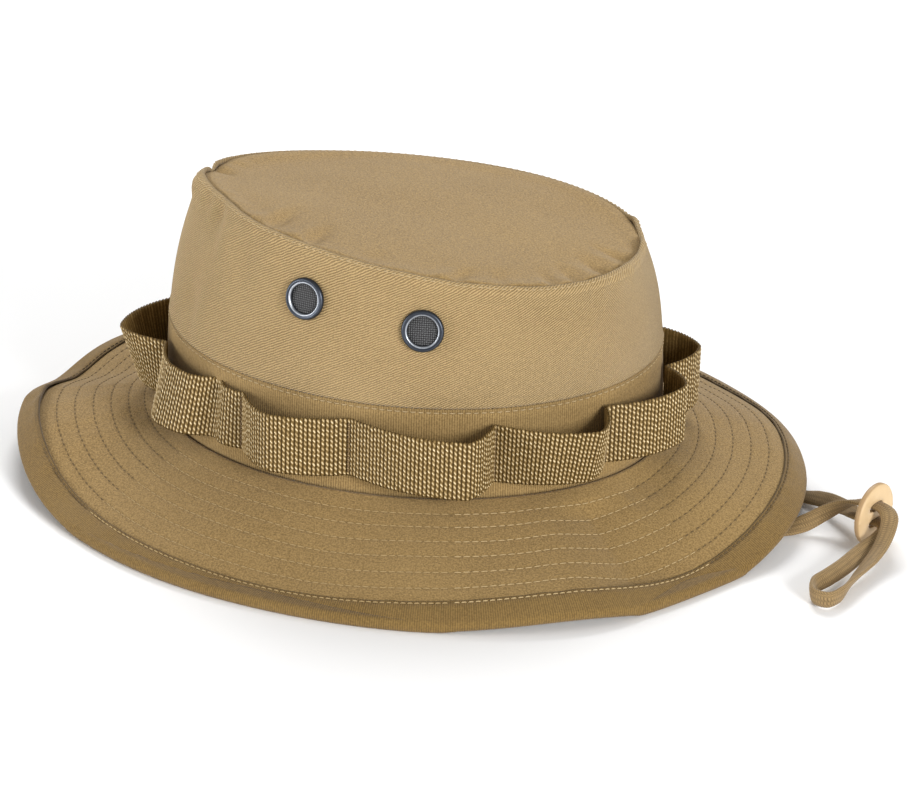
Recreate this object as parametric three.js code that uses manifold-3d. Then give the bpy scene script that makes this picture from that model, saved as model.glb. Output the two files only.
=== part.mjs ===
// Boonie hat resting on its brim: a soft crown with a flat oval tip, a ribbed band that carries a strap of
// branch loops, a wide stitched brim with a folded binding, four screened vents, and a chin cord with a
// leather slider. Millimetres, +Z up. The origin is on the floor under the middle of the brim, +X points to
// the end of the hat where the chin cord comes out, and angles run round +Z from +X.
import * as THREE from 'three';
import { mergeVertices } from 'three/addons/utils/BufferGeometryUtils.js';
import Module from 'manifold-3d';

const wasm = await Module();
wasm.setup();

// Driving dimensions
const STATIONS = 64; // sections round the hat
const GAP = 0.3; // clearance between neighbouring pieces
const CLOTH = 1.8; // wall of the crown
const MIDDLE = { x: 0.9, y: 0.3 }; // plan centre of the crown, with the brim's box on the origin

// Lower crown seam, a level oval that leans a little
const BASE = { a: 100.7, b: 79.5, height: 67.9, leanX: 1.2, leanY: 2.9 };

// Tip seam, a smaller oval that leans down to +X and +Y and is slightly twisted
const TIP = { a: 87.1, b: 72.1, x: 1.3, y: 1.2, height: 114.1, leanX: -5.9, leanY: -6.0, twist: 2.6 };
const TIP_DOME = 1.5; // rise of the tip's middle over its seam plane
const TIP_LIP = { front: 0.6, ends: 2.4 }; // how far the rim stands above the tip
const SHOULDER = { out: 2.6, drop: 3, swell: 2 }; // rolled top edge of the side and its belly
const SIDE_SHARES = { wall: [0, 0.25, 0.5, 0.75, 0.94], roll: [0.3, 0.65, 1] }; // where sections have points
const TIP_SHARES = [1, 0.93, 0.75, 0.42]; // rings of the tip, out from its middle

// Band between the lower crown seam and the brim's root
const BAND = { height: 37.8, leanX: -0.9, leanY: 1.9, flare: 2 };

// Brim and binding, measured along the cloth from the root
const BRIM = { thick: 2, width: 50, inside: 58.2, bend: 7 }; // shown width, and where the bound cloth ends
const BINDING = { leaf: 1.1, middle: 54.2, edge: 62.2, gap: 0.4, foldBack: 1, foldShare: 0.7, pocket: 1.5 };
const BRIM_STOPS = [0.5, 16, 32, 44, BRIM.width, BINDING.middle, BRIM.inside];
const BINDING_HALF = BRIM.thick / 2 + BINDING.gap + BINDING.leaf;

// Fall of the brim and of its bound edge below level, in degrees, every 22.5 degrees round from +X
const BRIM_FALL = [
  { brim: 18.0, hem: 32 },
  { brim: 12.6, hem: 48 },
  { brim: 17.5, hem: 31 },
  { brim: 19.4, hem: 26 },
  { brim: 26.0, hem: 41 },
  { brim: 23.0, hem: 34 },
  { brim: 16.5, hem: 24 },
  { brim: 13.4, hem: 22 },
  { brim: 14.5, hem: 22 },
  { brim: 8.5, hem: 42 },
  { brim: 22.4, hem: 24 },
  { brim: 26.4, hem: 26 },
  { brim: 28.4, hem: 28 },
  { brim: 25.0, hem: 31 },
  { brim: 22.0, hem: 30 },
  { brim: 31.6, hem: 28 },
];

// Branch loop strap: one row for each tack, with the loop that follows it. A loop's tilt is how far its lower
// edge hangs in, or its upper edge where it is below zero.
const STRAP = { width: 24, thick: 1.5, lift: 6.5, steps: 9 }; // lift is above the brim's root
const LOOPS = [
  { angle: 6, bulge: 13, peak: 0.5, tilt: 0 },
  { angle: 33, bulge: 13, peak: 0.45, tilt: 0 },
  { angle: 62, bulge: 12, peak: 0.55, tilt: 0 },
  { angle: 91, bulge: 13, peak: 0.4, tilt: 0 },
  { angle: 120, bulge: 12, peak: 0.5, tilt: 0 },
  { angle: 149, bulge: 14, peak: 0.6, tilt: 0 },
  { angle: 178, bulge: 17, peak: 0.66, tilt: 8 },
  { angle: 210, bulge: 12.5, peak: 0.36, tilt: -4.5 },
  { angle: 246.5, bulge: 10.5, peak: 0.4, tilt: 0 },
  { angle: 273.3, bulge: 16, peak: 0.8, tilt: 0 },
  { angle: 305, bulge: 18, peak: 0.7, tilt: 7 },
  { angle: 334, bulge: 12.5, peak: 0.7, tilt: 0 },
];

// Vents through the side, two on each flank, at a share of the side's height
const VENTS = [
  { name: 'front_left', angle: -99.9, share: 0.748 },
  { name: 'front_right', angle: -71.3, share: 0.699 },
  { name: 'back_right', angle: 71.3, share: 0.72 },
  { name: 'back_left', angle: 99.9, share: 0.74 },
];
const VENT = { outer: 8.2, barrel: 6.7, inner: 5.8, sides: 12 };
const VENT_BACK = { flange: 7.7, gap: 1.2, thick: 0.8 }; // inside of the wall
const VENT_FACE = { lip: 1.1, ridge: 2.1 };
const VENT_CORNER = { inside: 1.9, outside: 1.5, roundIn: 0.5, roundOut: 0.3 };
const SCREEN = { thick: 0.5, top: 0.6 };

// Chin cord: a flat braided lace, with the turn of its flat side about its run in degrees
const LACE = { width: 7, thick: 2.4, sides: 8, steps: 64 };
const LACE_ROUTE = [
  { x: 1.5, y: 75.8, z: 36, turn: 0 },
  { x: 1.5, y: 75.4, z: 22, turn: 0 },
  { x: 3, y: 73, z: 9, turn: 0 },
  { x: 12, y: 64, z: 3.6, turn: 0 },
  { x: 40, y: 50, z: 2.3, turn: 0 },
  { x: 75, y: 53, z: 2.3, turn: 0 },
  { x: 110, y: 52, z: 2.3, turn: 0 },
  { x: 140, y: 45, z: 2.3, turn: 0 },
  { x: 154.5, y: 38.8, z: 2.6, turn: 15 },
  { x: 161.5, y: 35.4, z: 4.4, turn: 42 },
  { x: 168, y: 31, z: 6.2, turn: 66 },
  { x: 176.5, y: 23.8, z: 8.2, turn: 45 },
  { x: 185.4, y: 15.5, z: 9.6, turn: 0 },
  { x: 194.6, y: 12.5, z: 9.5, turn: 0 },
  { x: 196.2, y: 8.5, z: 8.6, turn: 15 },
  { x: 194, y: 3, z: 6.8, turn: 45 },
  { x: 190, y: -2.5, z: 5.2, turn: 75 },
  { x: 186.2, y: -10, z: 4.5, turn: 85 },
  { x: 183, y: -20, z: 4.2, turn: 85 },
  { x: 180.4, y: -30, z: 4.2, turn: 85 },
  { x: 180, y: -39, z: 4.2, turn: 85 },
  { x: 183.5, y: -46.8, z: 4.2, turn: 85 },
  { x: 189, y: -48, z: 4.2, turn: 85 },
  { x: 192.3, y: -42, z: 4.2, turn: 85 },
  { x: 193.2, y: -32, z: 4.2, turn: 85 },
  { x: 194.6, y: -22, z: 4.6, turn: 82 },
  { x: 196.4, y: -13, z: 5.8, turn: 72 },
  { x: 197.9, y: -4, z: 8.2, turn: 52 },
  { x: 198.4, y: 3, z: 11.6, turn: 30 },
  { x: 197.6, y: 8.8, z: 14.8, turn: 10 },
  { x: 194.6, y: 12.5, z: 16.2, turn: 0 },
  { x: 185.4, y: 15.5, z: 16.2, turn: 0 },
  { x: 177, y: 16.5, z: 13, turn: -15 },
  { x: 170.6, y: 15.2, z: 9, turn: -55 },
  { x: 165, y: 12, z: 5.5, turn: -90 },
  { x: 161, y: 8.8, z: 3.8, turn: -155 },
  { x: 157, y: 5.5, z: 2.7, turn: -172 },
  { x: 140, y: -4, z: 2.3, turn: -180 },
  { x: 110, y: -22, z: 2.3, turn: -180 },
  { x: 75, y: -39, z: 2.3, turn: -180 },
  { x: 40, y: -50, z: 2.3, turn: -180 },
  { x: 12, y: -63.5, z: 3.6, turn: -180 },
  { x: 3, y: -72.5, z: 9, turn: -180 },
  { x: 1.5, y: -74.8, z: 22, turn: -180 },
  { x: 1.5, y: -75.2, z: 36, turn: -180 },
];

// Slider: a leather disc standing on its rim, with a slot for each pass of the lace
const SLIDER = { radius: 12.5, thick: 2.4, x: 190, y: 14, facing: -18, floorGap: 0.4 };
const SLOT = { rise: 3.3, gap: 0.4, endSpare: 0.6 };

// Colours read from the object
const CLOTH_TAN = 0xb4986f;
const CLOTH_BRIM = 0x9c8359;
const CLOTH_RIB = 0x907550;
const WEBBING_TAN = 0x9c8458;
const LACE_BROWN = 0x9a7c55;
const LEATHER_TAN = 0xd4b88d;
const GUNMETAL = 0x5c6572;
const SCREEN_DARK = 0x3c3f43;

const UP = new THREE.Vector3(0, 0, 1);
const radians = THREE.MathUtils.degToRad;

// Value of a column at an angle, on a smooth closed curve through evenly spaced rows
function roundTable(rows, column, angle) {
  const place = THREE.MathUtils.euclideanModulo(angle / (2 * Math.PI), 1) * rows.length;
  const index = Math.floor(place);
  const value = (step) => rows[(index + step + rows.length) % rows.length][column];
  return catmull(value(-1), value(0), value(1), value(2), place - index);
}

function catmull(before, start, end, after, t) {
  const slopeStart = (end - before) / 2;
  const slopeEnd = (after - start) / 2;
  const rise = start - end;
  return ((2 * rise + slopeStart + slopeEnd) * t - (3 * rise + 2 * slopeStart + slopeEnd)) * t * t
    + slopeStart * t + start;
}

// Point of an oval in plan and the outward direction there
function oval(a, b, angle, centreX = MIDDLE.x, centreY = MIDDLE.y) {
  const point = new THREE.Vector3(centreX + a * Math.cos(angle), centreY + b * Math.sin(angle), 0);
  const out = new THREE.Vector3(Math.cos(angle) / a, Math.sin(angle) / b, 0).normalize();
  return { point, out };
}

function basePoint(angle) {
  const { point, out } = oval(BASE.a, BASE.b, angle);
  point.z = BASE.height + BASE.leanX * Math.cos(angle) + BASE.leanY * Math.sin(angle);
  return { point, out };
}

function bandHeight(angle) {
  return BAND.height + BAND.leanX * Math.cos(angle) + BAND.leanY * Math.sin(angle);
}

function rootPoint(angle) {
  const { point, out } = oval(BASE.a + BAND.flare, BASE.b + BAND.flare, angle);
  point.z = basePoint(angle).point.z - bandHeight(angle);
  return { point, out };
}

// Tip surface at a share of the way out from its middle to its seam
function tipPoint(angle, share) {
  const { point } = oval(TIP.a * share, TIP.b * share, angle, MIDDLE.x + TIP.x, MIDDLE.y + TIP.y);
  const lean = TIP.leanX * Math.cos(angle) + TIP.leanY * Math.sin(angle);
  const twist = TIP.twist * Math.sin(2 * angle) * share * share;
  point.z = TIP.height + lean * share + twist + TIP_DOME * (1 - share * share) - rimLip(angle);
  return point;
}

// The rim stands highest above the tip at the two ends of the hat
function rimLip(angle) {
  return THREE.MathUtils.lerp(TIP_LIP.front, TIP_LIP.ends, Math.cos(angle) ** 2);
}

// Closed body from shared points and triangles, with its faces turned outwards
function closedBody(points, triangles) {
  const corner = (index) => points[index];
  const volume = triangles.reduce((sum, [i, j, k]) =>
    sum + corner(i).dot(new THREE.Vector3().crossVectors(corner(j), corner(k))), 0);
  const faces = volume < 0 ? triangles.map(([i, j, k]) => [i, k, j]) : triangles;
  const geometry = new THREE.BufferGeometry();
  geometry.setAttribute('position', new THREE.Float32BufferAttribute(points.flatMap((p) => p.toArray()), 3));
  geometry.setIndex(faces.flat());
  geometry.computeVertexNormals();
  return geometry;
}

// Skin between sections that hold the same number of points, each section a closed loop.
// Each four-sided patch is split along its shorter diagonal, so that parallel skins fold alike.
function skin(sections, closed) {
  const size = sections[0].length;
  const points = sections.flat();
  const span = (start, end) => points[start].distanceToSquared(points[end]);
  const rows = closed ? sections.length : sections.length - 1;
  const triangles = [];
  for (let row = 0; row < rows; row += 1) {
    const next = (row + 1) % sections.length;
    for (let column = 0; column < size; column += 1) {
      const across = (column + 1) % size;
      const [a, b] = [row * size + column, row * size + across];
      const [c, d] = [next * size + across, next * size + column];
      const split = span(a, c) < span(b, d) ? [[a, b, c], [a, c, d]] : [[a, b, d], [b, c, d]];
      triangles.push(...split);
    }
  }
  return triangles;
}

function ringSolid(sectionAt) {
  const sections = Array.from({ length: STATIONS }, (_, i) => sectionAt((i / STATIONS) * 2 * Math.PI));
  return closedBody(sections.flat(), skin(sections, true));
}

// Wall section: a path on the outer face and the same path set in by the wall's thickness.
// The path lies in the upright plane of the outward direction.
function wallSection(path, out, thick) {
  const inner = path.map((point, i) => {
    const run = path[Math.min(i + 1, path.length - 1)].clone().sub(path[Math.max(i - 1, 0)]);
    const inward = new THREE.Vector2(-run.z, run.dot(out)).normalize();
    return point.clone().addScaledVector(out, inward.x * thick).addScaledVector(UP, inward.y * thick);
  });
  return [...path, ...inner.reverse()];
}

// Outer face of the side, from the lower crown seam up over the rolled shoulder to the tip seam
function sidePath(angle) {
  const { point: foot, out } = basePoint(angle);
  foot.z += GAP / 2;
  const seam = tipPoint(angle, 1).addScaledVector(out, 2 * GAP).addScaledVector(UP, rimLip(angle));
  const shoulder = seam.clone().addScaledVector(out, SHOULDER.out).addScaledVector(UP, -SHOULDER.drop);
  const wall = SIDE_SHARES.wall.map((share) => foot.clone().lerp(shoulder, share)
    .addScaledVector(out, SHOULDER.swell * Math.sin(Math.PI * share)));
  const corner = shoulder.clone().addScaledVector(UP, SHOULDER.drop);
  const roll = new THREE.QuadraticBezierCurve3(shoulder, corner, seam);
  return { path: [...wall, ...SIDE_SHARES.roll.map((share) => roll.getPoint(share))], out };
}

function crownSide() {
  const wall = toSolid(ringSolid((angle) => {
    const { path, out } = sidePath(angle);
    return wallSection(path, out, CLOTH);
  }));
  const holes = VENTS.map((vent) => {
    const hole = new THREE.CylinderGeometry(VENT.barrel + GAP, VENT.barrel + GAP, 8 * CLOTH, 2 * VENT.sides);
    return toSolid(hole.applyMatrix4(ventMatrix(vent)));
  });
  return fromSolid(holes.reduce((cut, hole) => cut.subtract(hole), wall));
}

// Place of a vent: its Y axis stands out from the outer face of the side
function ventMatrix(vent) {
  const angle = radians(vent.angle);
  const { path: [foot, , , , head], out } = sidePath(angle);
  const centre = foot.clone().lerp(head, vent.share);
  centre.addScaledVector(out, SHOULDER.swell * Math.sin(Math.PI * vent.share));
  const along = new THREE.Vector3(-out.y, out.x, 0);
  const rise = head.clone().sub(foot);
  rise.addScaledVector(out, SHOULDER.swell * Math.PI * Math.cos(Math.PI * vent.share));
  const axis = new THREE.Vector3().crossVectors(along, rise).normalize();
  const third = new THREE.Vector3().crossVectors(along, axis);
  return new THREE.Matrix4().makeBasis(along, axis, third).setPosition(centre);
}

function ventRing(vent) {
  const back = -(CLOTH + VENT_BACK.gap);
  const profile = [
    [VENT.inner, VENT_FACE.lip],
    [VENT.inner + VENT_CORNER.roundIn, VENT_CORNER.inside],
    [(VENT.inner + VENT.outer) / 2, VENT_FACE.ridge],
    [VENT.outer - VENT_CORNER.roundOut, VENT_CORNER.outside],
    [VENT.outer, GAP],
    [VENT.barrel, GAP],
    [VENT.barrel, back],
    [VENT_BACK.flange, back],
    [VENT_BACK.flange, back - VENT_BACK.thick],
    [VENT.inner, back - VENT_BACK.thick],
    [VENT.inner, VENT_FACE.lip],
  ].map(([r, y]) => new THREE.Vector2(r, y)).reverse();
  return new THREE.LatheGeometry(profile, VENT.sides).applyMatrix4(ventMatrix(vent));
}

function ventScreen(vent) {
  const radius = VENT.inner - GAP;
  const disc = new THREE.CylinderGeometry(radius, radius, SCREEN.thick, VENT.sides);
  return disc.translate(0, SCREEN.top - SCREEN.thick / 2, 0).applyMatrix4(ventMatrix(vent));
}

// Tip: a shallow dished plate with its rim under the roll of the side
function crownTip() {
  const layer = (drop) => TIP_SHARES.flatMap((share) => Array.from({ length: STATIONS }, (_, i) => {
    const angle = (i / STATIONS) * 2 * Math.PI;
    return tipPoint(angle, share).addScaledVector(UP, -drop);
  }));
  const middle = (drop) => tipPoint(0, 0).addScaledVector(UP, -drop);
  const top = layer(0);
  const bottom = layer(CLOTH);
  const points = [...top, ...bottom, middle(0), middle(CLOTH)];
  const [topMiddle, bottomMiddle] = [top.length * 2, top.length * 2 + 1];
  const triangles = [];
  for (let i = 0; i < STATIONS; i += 1) {
    const next = (i + 1) % STATIONS;
    const quad = (a, b, c, d) => triangles.push([a, b, c], [a, c, d]);
    for (let ring = 0; ring < TIP_SHARES.length - 1; ring += 1) {
      const [outer, inner] = [ring * STATIONS, (ring + 1) * STATIONS];
      quad(outer + i, outer + next, inner + next, inner + i);
      const under = top.length;
      quad(under + outer + next, under + outer + i, under + inner + i, under + inner + next);
    }
    const last = (TIP_SHARES.length - 1) * STATIONS;
    triangles.push([last + i, last + next, topMiddle]);
    triangles.push([top.length + last + next, top.length + last + i, bottomMiddle]);
    quad(next, i, top.length + i, top.length + next);
  }
  return closedBody(points, triangles);
}

// Band: from the lower crown seam down past the brim's inner edge
function crownBand() {
  return ringSolid((angle) => {
    const { point: foot, out } = rootPoint(angle);
    const { point: head } = basePoint(angle);
    foot.addScaledVector(UP, -BRIM.thick);
    head.addScaledVector(UP, -GAP / 2);
    return wallSection([foot, foot.clone().lerp(head, 0.5), head], out, CLOTH);
  });
}

// Middle of the brim cloth at a distance along it from the root, with the upward direction of its face.
// The fall turns smoothly from the brim's to the binding's, and the cloth lies flat where it meets the floor.
function brimCloth(angle) {
  const step = 0.5;
  const fallBrim = radians(roundTable(BRIM_FALL, 'brim', angle));
  const fallHem = radians(roundTable(BRIM_FALL, 'hem', angle));
  const { point: root, out } = rootPoint(angle);
  root.addScaledVector(UP, -BRIM.thick / 2);
  const points = [root];
  for (let along = step; along <= BINDING.edge + step; along += step) {
    const turn = THREE.MathUtils.smoothstep(along - step / 2, BRIM.width - BRIM.bend, BRIM.width + BRIM.bend);
    const fall = THREE.MathUtils.lerp(fallBrim, fallHem, turn);
    const next = points.at(-1).clone().addScaledVector(out, step * Math.cos(fall));
    next.z -= step * Math.sin(fall);
    points.push(next);
  }
  points.forEach((point) => { point.z = Math.max(point.z, BINDING_HALF); });
  return (along, offset) => {
    const index = Math.round(along / step);
    const run = points[Math.min(index + 1, points.length - 1)].clone().sub(points[Math.max(index - 1, 0)]);
    const face = out.clone().multiplyScalar(-run.z).addScaledVector(UP, run.dot(out)).normalize();
    return points[index].clone().addScaledVector(face, offset);
  };
}

function brim() {
  return ringSolid((angle) => {
    const cloth = brimCloth(angle);
    const top = BRIM_STOPS.map((along) => cloth(along, BRIM.thick / 2));
    const bottom = BRIM_STOPS.map((along) => cloth(along, -BRIM.thick / 2));
    return [...top, ...bottom.reverse()];
  });
}

// Binding: a leaf above and a leaf below the brim, joined by a fold round its edge
function brimBinding() {
  const outside = BINDING_HALF;
  const inside = BRIM.thick / 2 + BINDING.gap;
  const fold = BINDING.edge - BINDING.foldBack;
  const foldHalf = outside * BINDING.foldShare;
  const profile = [
    [BRIM.width, outside],
    [BINDING.middle, outside],
    [BRIM.inside, outside],
    [fold, foldHalf],
    [BINDING.edge, 0],
    [fold, -foldHalf],
    [BRIM.inside, -outside],
    [BINDING.middle, -outside],
    [BRIM.width, -outside],
    [BRIM.width, -inside],
    [BINDING.middle, -inside],
    [BRIM.inside, -inside],
    [BRIM.inside + BINDING.pocket, 0],
    [BRIM.inside, inside],
    [BINDING.middle, inside],
    [BRIM.width, inside],
  ];
  return ringSolid((angle) => {
    const cloth = brimCloth(angle);
    return profile.map(([along, offset]) => cloth(along, offset));
  });
}

// Strap: webbing on edge round the band, held at each tack and standing off between tacks
function branchLoopStrap() {
  const rest = GAP + STRAP.thick / 2;
  const stations = LOOPS.flatMap((loop, i) => {
    const end = i + 1 < LOOPS.length ? LOOPS[i + 1].angle : LOOPS[0].angle + 360;
    return Array.from({ length: STRAP.steps }, (_, step) => {
      const share = step / STRAP.steps;
      const rise = share < loop.peak ? share / loop.peak : (1 - share) / (1 - loop.peak);
      const angle = radians(THREE.MathUtils.lerp(loop.angle, end, share));
      const swing = Math.sin((Math.PI / 2) * rise);
      return { angle, off: rest + loop.bulge * swing, lean: loop.tilt * swing };
    });
  });
  const plan = stations.map(({ angle, off }) => {
    const { point, out } = rootPoint(angle);
    return point.addScaledVector(out, off).addScaledVector(UP, STRAP.lift);
  });
  const sections = plan.map((point, i) => {
    const before = plan[(i + plan.length - 1) % plan.length];
    const after = plan[(i + 1) % plan.length];
    const run = after.clone().sub(before).setZ(0).normalize();
    const side = new THREE.Vector3(run.y, -run.x, 0).multiplyScalar(STRAP.thick / 2);
    const { angle, lean } = stations[i];
    const { out } = rootPoint(angle);
    const edge = (inward, rise) => [1, -1].map((turn) => point.clone().addScaledVector(side, turn)
      .addScaledVector(out, -inward).addScaledVector(UP, rise));
    const foot = edge(Math.max(lean, 0), 0);
    const head = edge(Math.max(-lean, 0), STRAP.width);
    return [foot[0], foot[1], head[1], head[0]];
  });
  return closedBody(sections.flat(), skin(sections, true));
}

// Lace: an oval section carried along the route, turned about its run
function chinCord() {
  const stops = LACE_ROUTE.map(({ x, y, z }) => new THREE.Vector3(x, y, z));
  const curve = new THREE.CatmullRomCurve3(stops, false, 'centripetal');
  const turnAt = (share) => {
    const place = share * (LACE_ROUTE.length - 1);
    const index = Math.min(Math.floor(place), LACE_ROUTE.length - 2);
    return THREE.MathUtils.lerp(LACE_ROUTE[index].turn, LACE_ROUTE[index + 1].turn, place - index);
  };
  const sections = Array.from({ length: LACE.steps + 1 }, (_, i) => {
    const share = i / LACE.steps;
    const place = curve.getPoint(share);
    const run = curve.getTangent(share);
    const level = new THREE.Vector3().crossVectors(run, UP).normalize();
    const wide = level.clone().applyAxisAngle(run, radians(turnAt(share)));
    const thin = new THREE.Vector3().crossVectors(wide, run);
    return Array.from({ length: LACE.sides }, (__, side) => {
      const angle = ((side + 0.5) / LACE.sides) * 2 * Math.PI;
      const spread = 1 / Math.cos(Math.PI / LACE.sides);
      return place.clone()
        .addScaledVector(wide, (LACE.width / 2) * spread * Math.cos(angle))
        .addScaledVector(thin, (LACE.thick / 2) * spread * Math.sin(angle));
    });
  });
  const points = sections.flat();
  const triangles = skin(sections, false);
  const last = points.length - LACE.sides;
  for (let side = 1; side < LACE.sides - 1; side += 1) {
    triangles.push([0, side + 1, side], [last, last + side, last + side + 1]);
  }
  return closedBody(points, triangles);
}

// Disc with two level slots, one above the other
function cordSlider() {
  const outline = new THREE.Shape().absarc(0, 0, SLIDER.radius, 0, 2 * Math.PI);
  const round = LACE.thick / 2 + SLOT.gap;
  const end = LACE.width / 2 + SLOT.gap + SLOT.endSpare - round;
  outline.holes = [-SLOT.rise, SLOT.rise].map((rise) => {
    const slot = new THREE.Path();
    slot.absarc(end, rise, round, -Math.PI / 2, Math.PI / 2);
    slot.absarc(-end, rise, round, Math.PI / 2, Math.PI * 1.5);
    return slot;
  });
  const settings = { depth: SLIDER.thick, bevelEnabled: false, curveSegments: 8 };
  const disc = new THREE.ExtrudeGeometry(outline, settings);
  return disc.translate(0, 0, -SLIDER.thick / 2);
}

// Closed geometry to a solid for cutting, and back
function toSolid(geometry) {
  const bare = new THREE.BufferGeometry();
  bare.setAttribute('position', geometry.getAttribute('position'));
  bare.setIndex(geometry.getIndex());
  const merged = mergeVertices(bare, 1e-4);
  return new wasm.Manifold(new wasm.Mesh({
    numProp: 3,
    vertProperties: new Float32Array(merged.getAttribute('position').array),
    triVerts: new Uint32Array(merged.getIndex().array),
  }));
}

function fromSolid(solid) {
  const mesh = solid.getMesh();
  const geometry = new THREE.BufferGeometry();
  geometry.setAttribute('position', new THREE.Float32BufferAttribute(mesh.vertProperties, 3));
  geometry.setIndex(Array.from(mesh.triVerts));
  geometry.computeVertexNormals();
  return geometry;
}

function piece(name, geometry, color, roughness = 0.9, metalness = 0) {
  const mesh = new THREE.Mesh(geometry, new THREE.MeshStandardMaterial({ color, roughness, metalness }));
  mesh.name = name;
  return mesh;
}

const hat = new THREE.Group();
hat.name = 'boonie_hat';
hat.add(
  piece('crown_tip', crownTip(), CLOTH_TAN),
  piece('crown_side', crownSide(), CLOTH_TAN),
  piece('crown_band', crownBand(), CLOTH_RIB),
  piece('brim', brim(), CLOTH_BRIM),
  piece('brim_binding', brimBinding(), CLOTH_RIB),
  piece('branch_loop_strap', branchLoopStrap(), WEBBING_TAN),
  piece('chin_cord', chinCord(), LACE_BROWN),
);
VENTS.forEach((vent) => hat.add(
  piece(`vent_ring_${vent.name}`, ventRing(vent), GUNMETAL, 0.35, 0.9),
  piece(`vent_screen_${vent.name}`, ventScreen(vent), SCREEN_DARK, 0.6, 0.4),
));

const slider = piece('cord_slider', cordSlider(), LEATHER_TAN, 0.6);
slider.position.set(SLIDER.x, SLIDER.y, SLIDER.radius + SLIDER.floorGap);
slider.rotation.set(Math.PI / 2, Math.PI / 2 + radians(SLIDER.facing), 0, 'ZXY');
hat.add(slider);

export default hat;
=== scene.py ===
"""Boonie hat in coyote brown: the looks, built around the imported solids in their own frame.

Lengths are worked out in millimetres and written to the meshes in metres. Angles run round +Z from +X.
Every surface is a function of two parameters on a numpy grid.
"""

from __future__ import annotations

import logging
import math
from dataclasses import dataclass, field
from enum import Enum

import bpy
import numpy as np
from mathutils import Matrix, Vector

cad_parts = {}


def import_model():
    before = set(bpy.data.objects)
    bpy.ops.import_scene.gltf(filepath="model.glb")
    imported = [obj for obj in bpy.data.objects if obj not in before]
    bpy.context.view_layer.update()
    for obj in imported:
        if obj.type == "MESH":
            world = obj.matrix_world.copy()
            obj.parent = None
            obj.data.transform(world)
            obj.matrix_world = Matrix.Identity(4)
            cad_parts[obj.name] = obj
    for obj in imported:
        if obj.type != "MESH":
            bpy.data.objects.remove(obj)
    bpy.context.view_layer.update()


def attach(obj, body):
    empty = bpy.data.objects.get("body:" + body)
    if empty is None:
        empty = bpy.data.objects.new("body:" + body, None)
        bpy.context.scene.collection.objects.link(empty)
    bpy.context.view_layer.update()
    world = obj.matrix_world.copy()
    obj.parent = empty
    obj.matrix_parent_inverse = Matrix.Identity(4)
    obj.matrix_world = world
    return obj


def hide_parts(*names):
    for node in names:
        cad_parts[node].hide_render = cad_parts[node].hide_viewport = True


LOG = logging.getLogger("boonie_hat")
MM = 0.001
TURN = 2.0 * math.pi
BODY = "root"
UP = np.array([0.0, 0.0, 1.0])

# Lengths that cloth coordinates run over in one round of the crown, of the brim and of its edge
ROUND = 580.0
BRIM_ROUND = 740.0
EDGE_ROUND = 940.0

Array = np.ndarray


class Slot(Enum):
    """Material slots of the record."""

    TWILL = "cotton_twill"
    BRIM = "quilted_twill"
    RIB = "ribbed_cotton"
    WEBBING = "webbing"
    LACE = "lace"
    LEATHER = "leather"
    GUNMETAL = "gunmetal"
    SCREEN = "vent_screen"


def unit(vectors: Array) -> Array:
    """Vectors scaled to length one along the last axis."""
    return vectors / np.maximum(np.linalg.norm(vectors, axis=-1, keepdims=True), 1e-9)


def smooth(low: float, high: float, value: Array) -> Array:
    """Soft step: 0 below low, 1 above high, and a cubic between."""
    share = np.clip((value - low) / (high - low), 0.0, 1.0)
    return share * share * (3.0 - 2.0 * share)


def bell(offset: Array, width: float) -> Array:
    """Bell curve of an offset: 1 in the middle and about 0.37 at one width."""
    return np.exp(-((offset / width) ** 2))


def around(offset: Array) -> Array:
    """Angle difference in radians brought into the range from -pi to pi."""
    return (offset + math.pi) % TURN - math.pi


def turns(count: int) -> Array:
    """Even angles of one round, from +X."""
    return np.arange(count) / count * TURN


def from_degrees(angle: Array, degrees: float) -> Array:
    """How far angles lie from a place in degrees, in radians from -pi to pi."""
    return around(angle - math.radians(degrees))


def run_lengths(points: Array) -> Array:
    """Length run along a line of points up to each of them."""
    return np.concatenate([[0.0], np.cumsum(np.linalg.norm(np.diff(points, axis=0), axis=1))])


def read_line(places: Array, lengths: Array, points: Array) -> Array:
    """Points of a line at given lengths along it."""
    return np.stack([np.interp(places, lengths, points[:, k]) for k in range(3)], -1)


def spokes(turn: Array, first: Array, second: Array) -> Array:
    """Directions that turn from a first direction towards a second one."""
    return np.cos(turn)[:, None] * first + np.sin(turn)[:, None] * second


def fuller(wave: Array, power: float) -> Array:
    """Wave raised to a power with its sign kept, which makes an oval fuller or leaner."""
    return np.sign(wave) * np.abs(wave) ** power


def graded(wall_end: float, close_start: float, rows: int, close_rows: int) -> Array:
    """Shares from 0 to 1: even rows up to the end of the wall, and closer rows after it."""
    wall = np.linspace(0.0, wall_end, rows - close_rows)
    return np.concatenate([wall, np.linspace(close_start, 1.0, close_rows)])


def square_disc(cells: int) -> tuple[Array, Array]:
    """Square grid pressed into the unit disc, so that it has no pole.

    Formula: x and y of the square go to x*sqrt(1-y*y/2) and y*sqrt(1-x*x/2).

    Args:
        cells: Points along each side of the square.

    Returns:
        Both coordinates on the disc.
    """
    line = np.linspace(-1.0, 1.0, cells)
    x, y = np.meshgrid(line, line, indexing="ij")
    return x * np.sqrt(1.0 - y * y / 2.0), y * np.sqrt(1.0 - x * x / 2.0)


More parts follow.
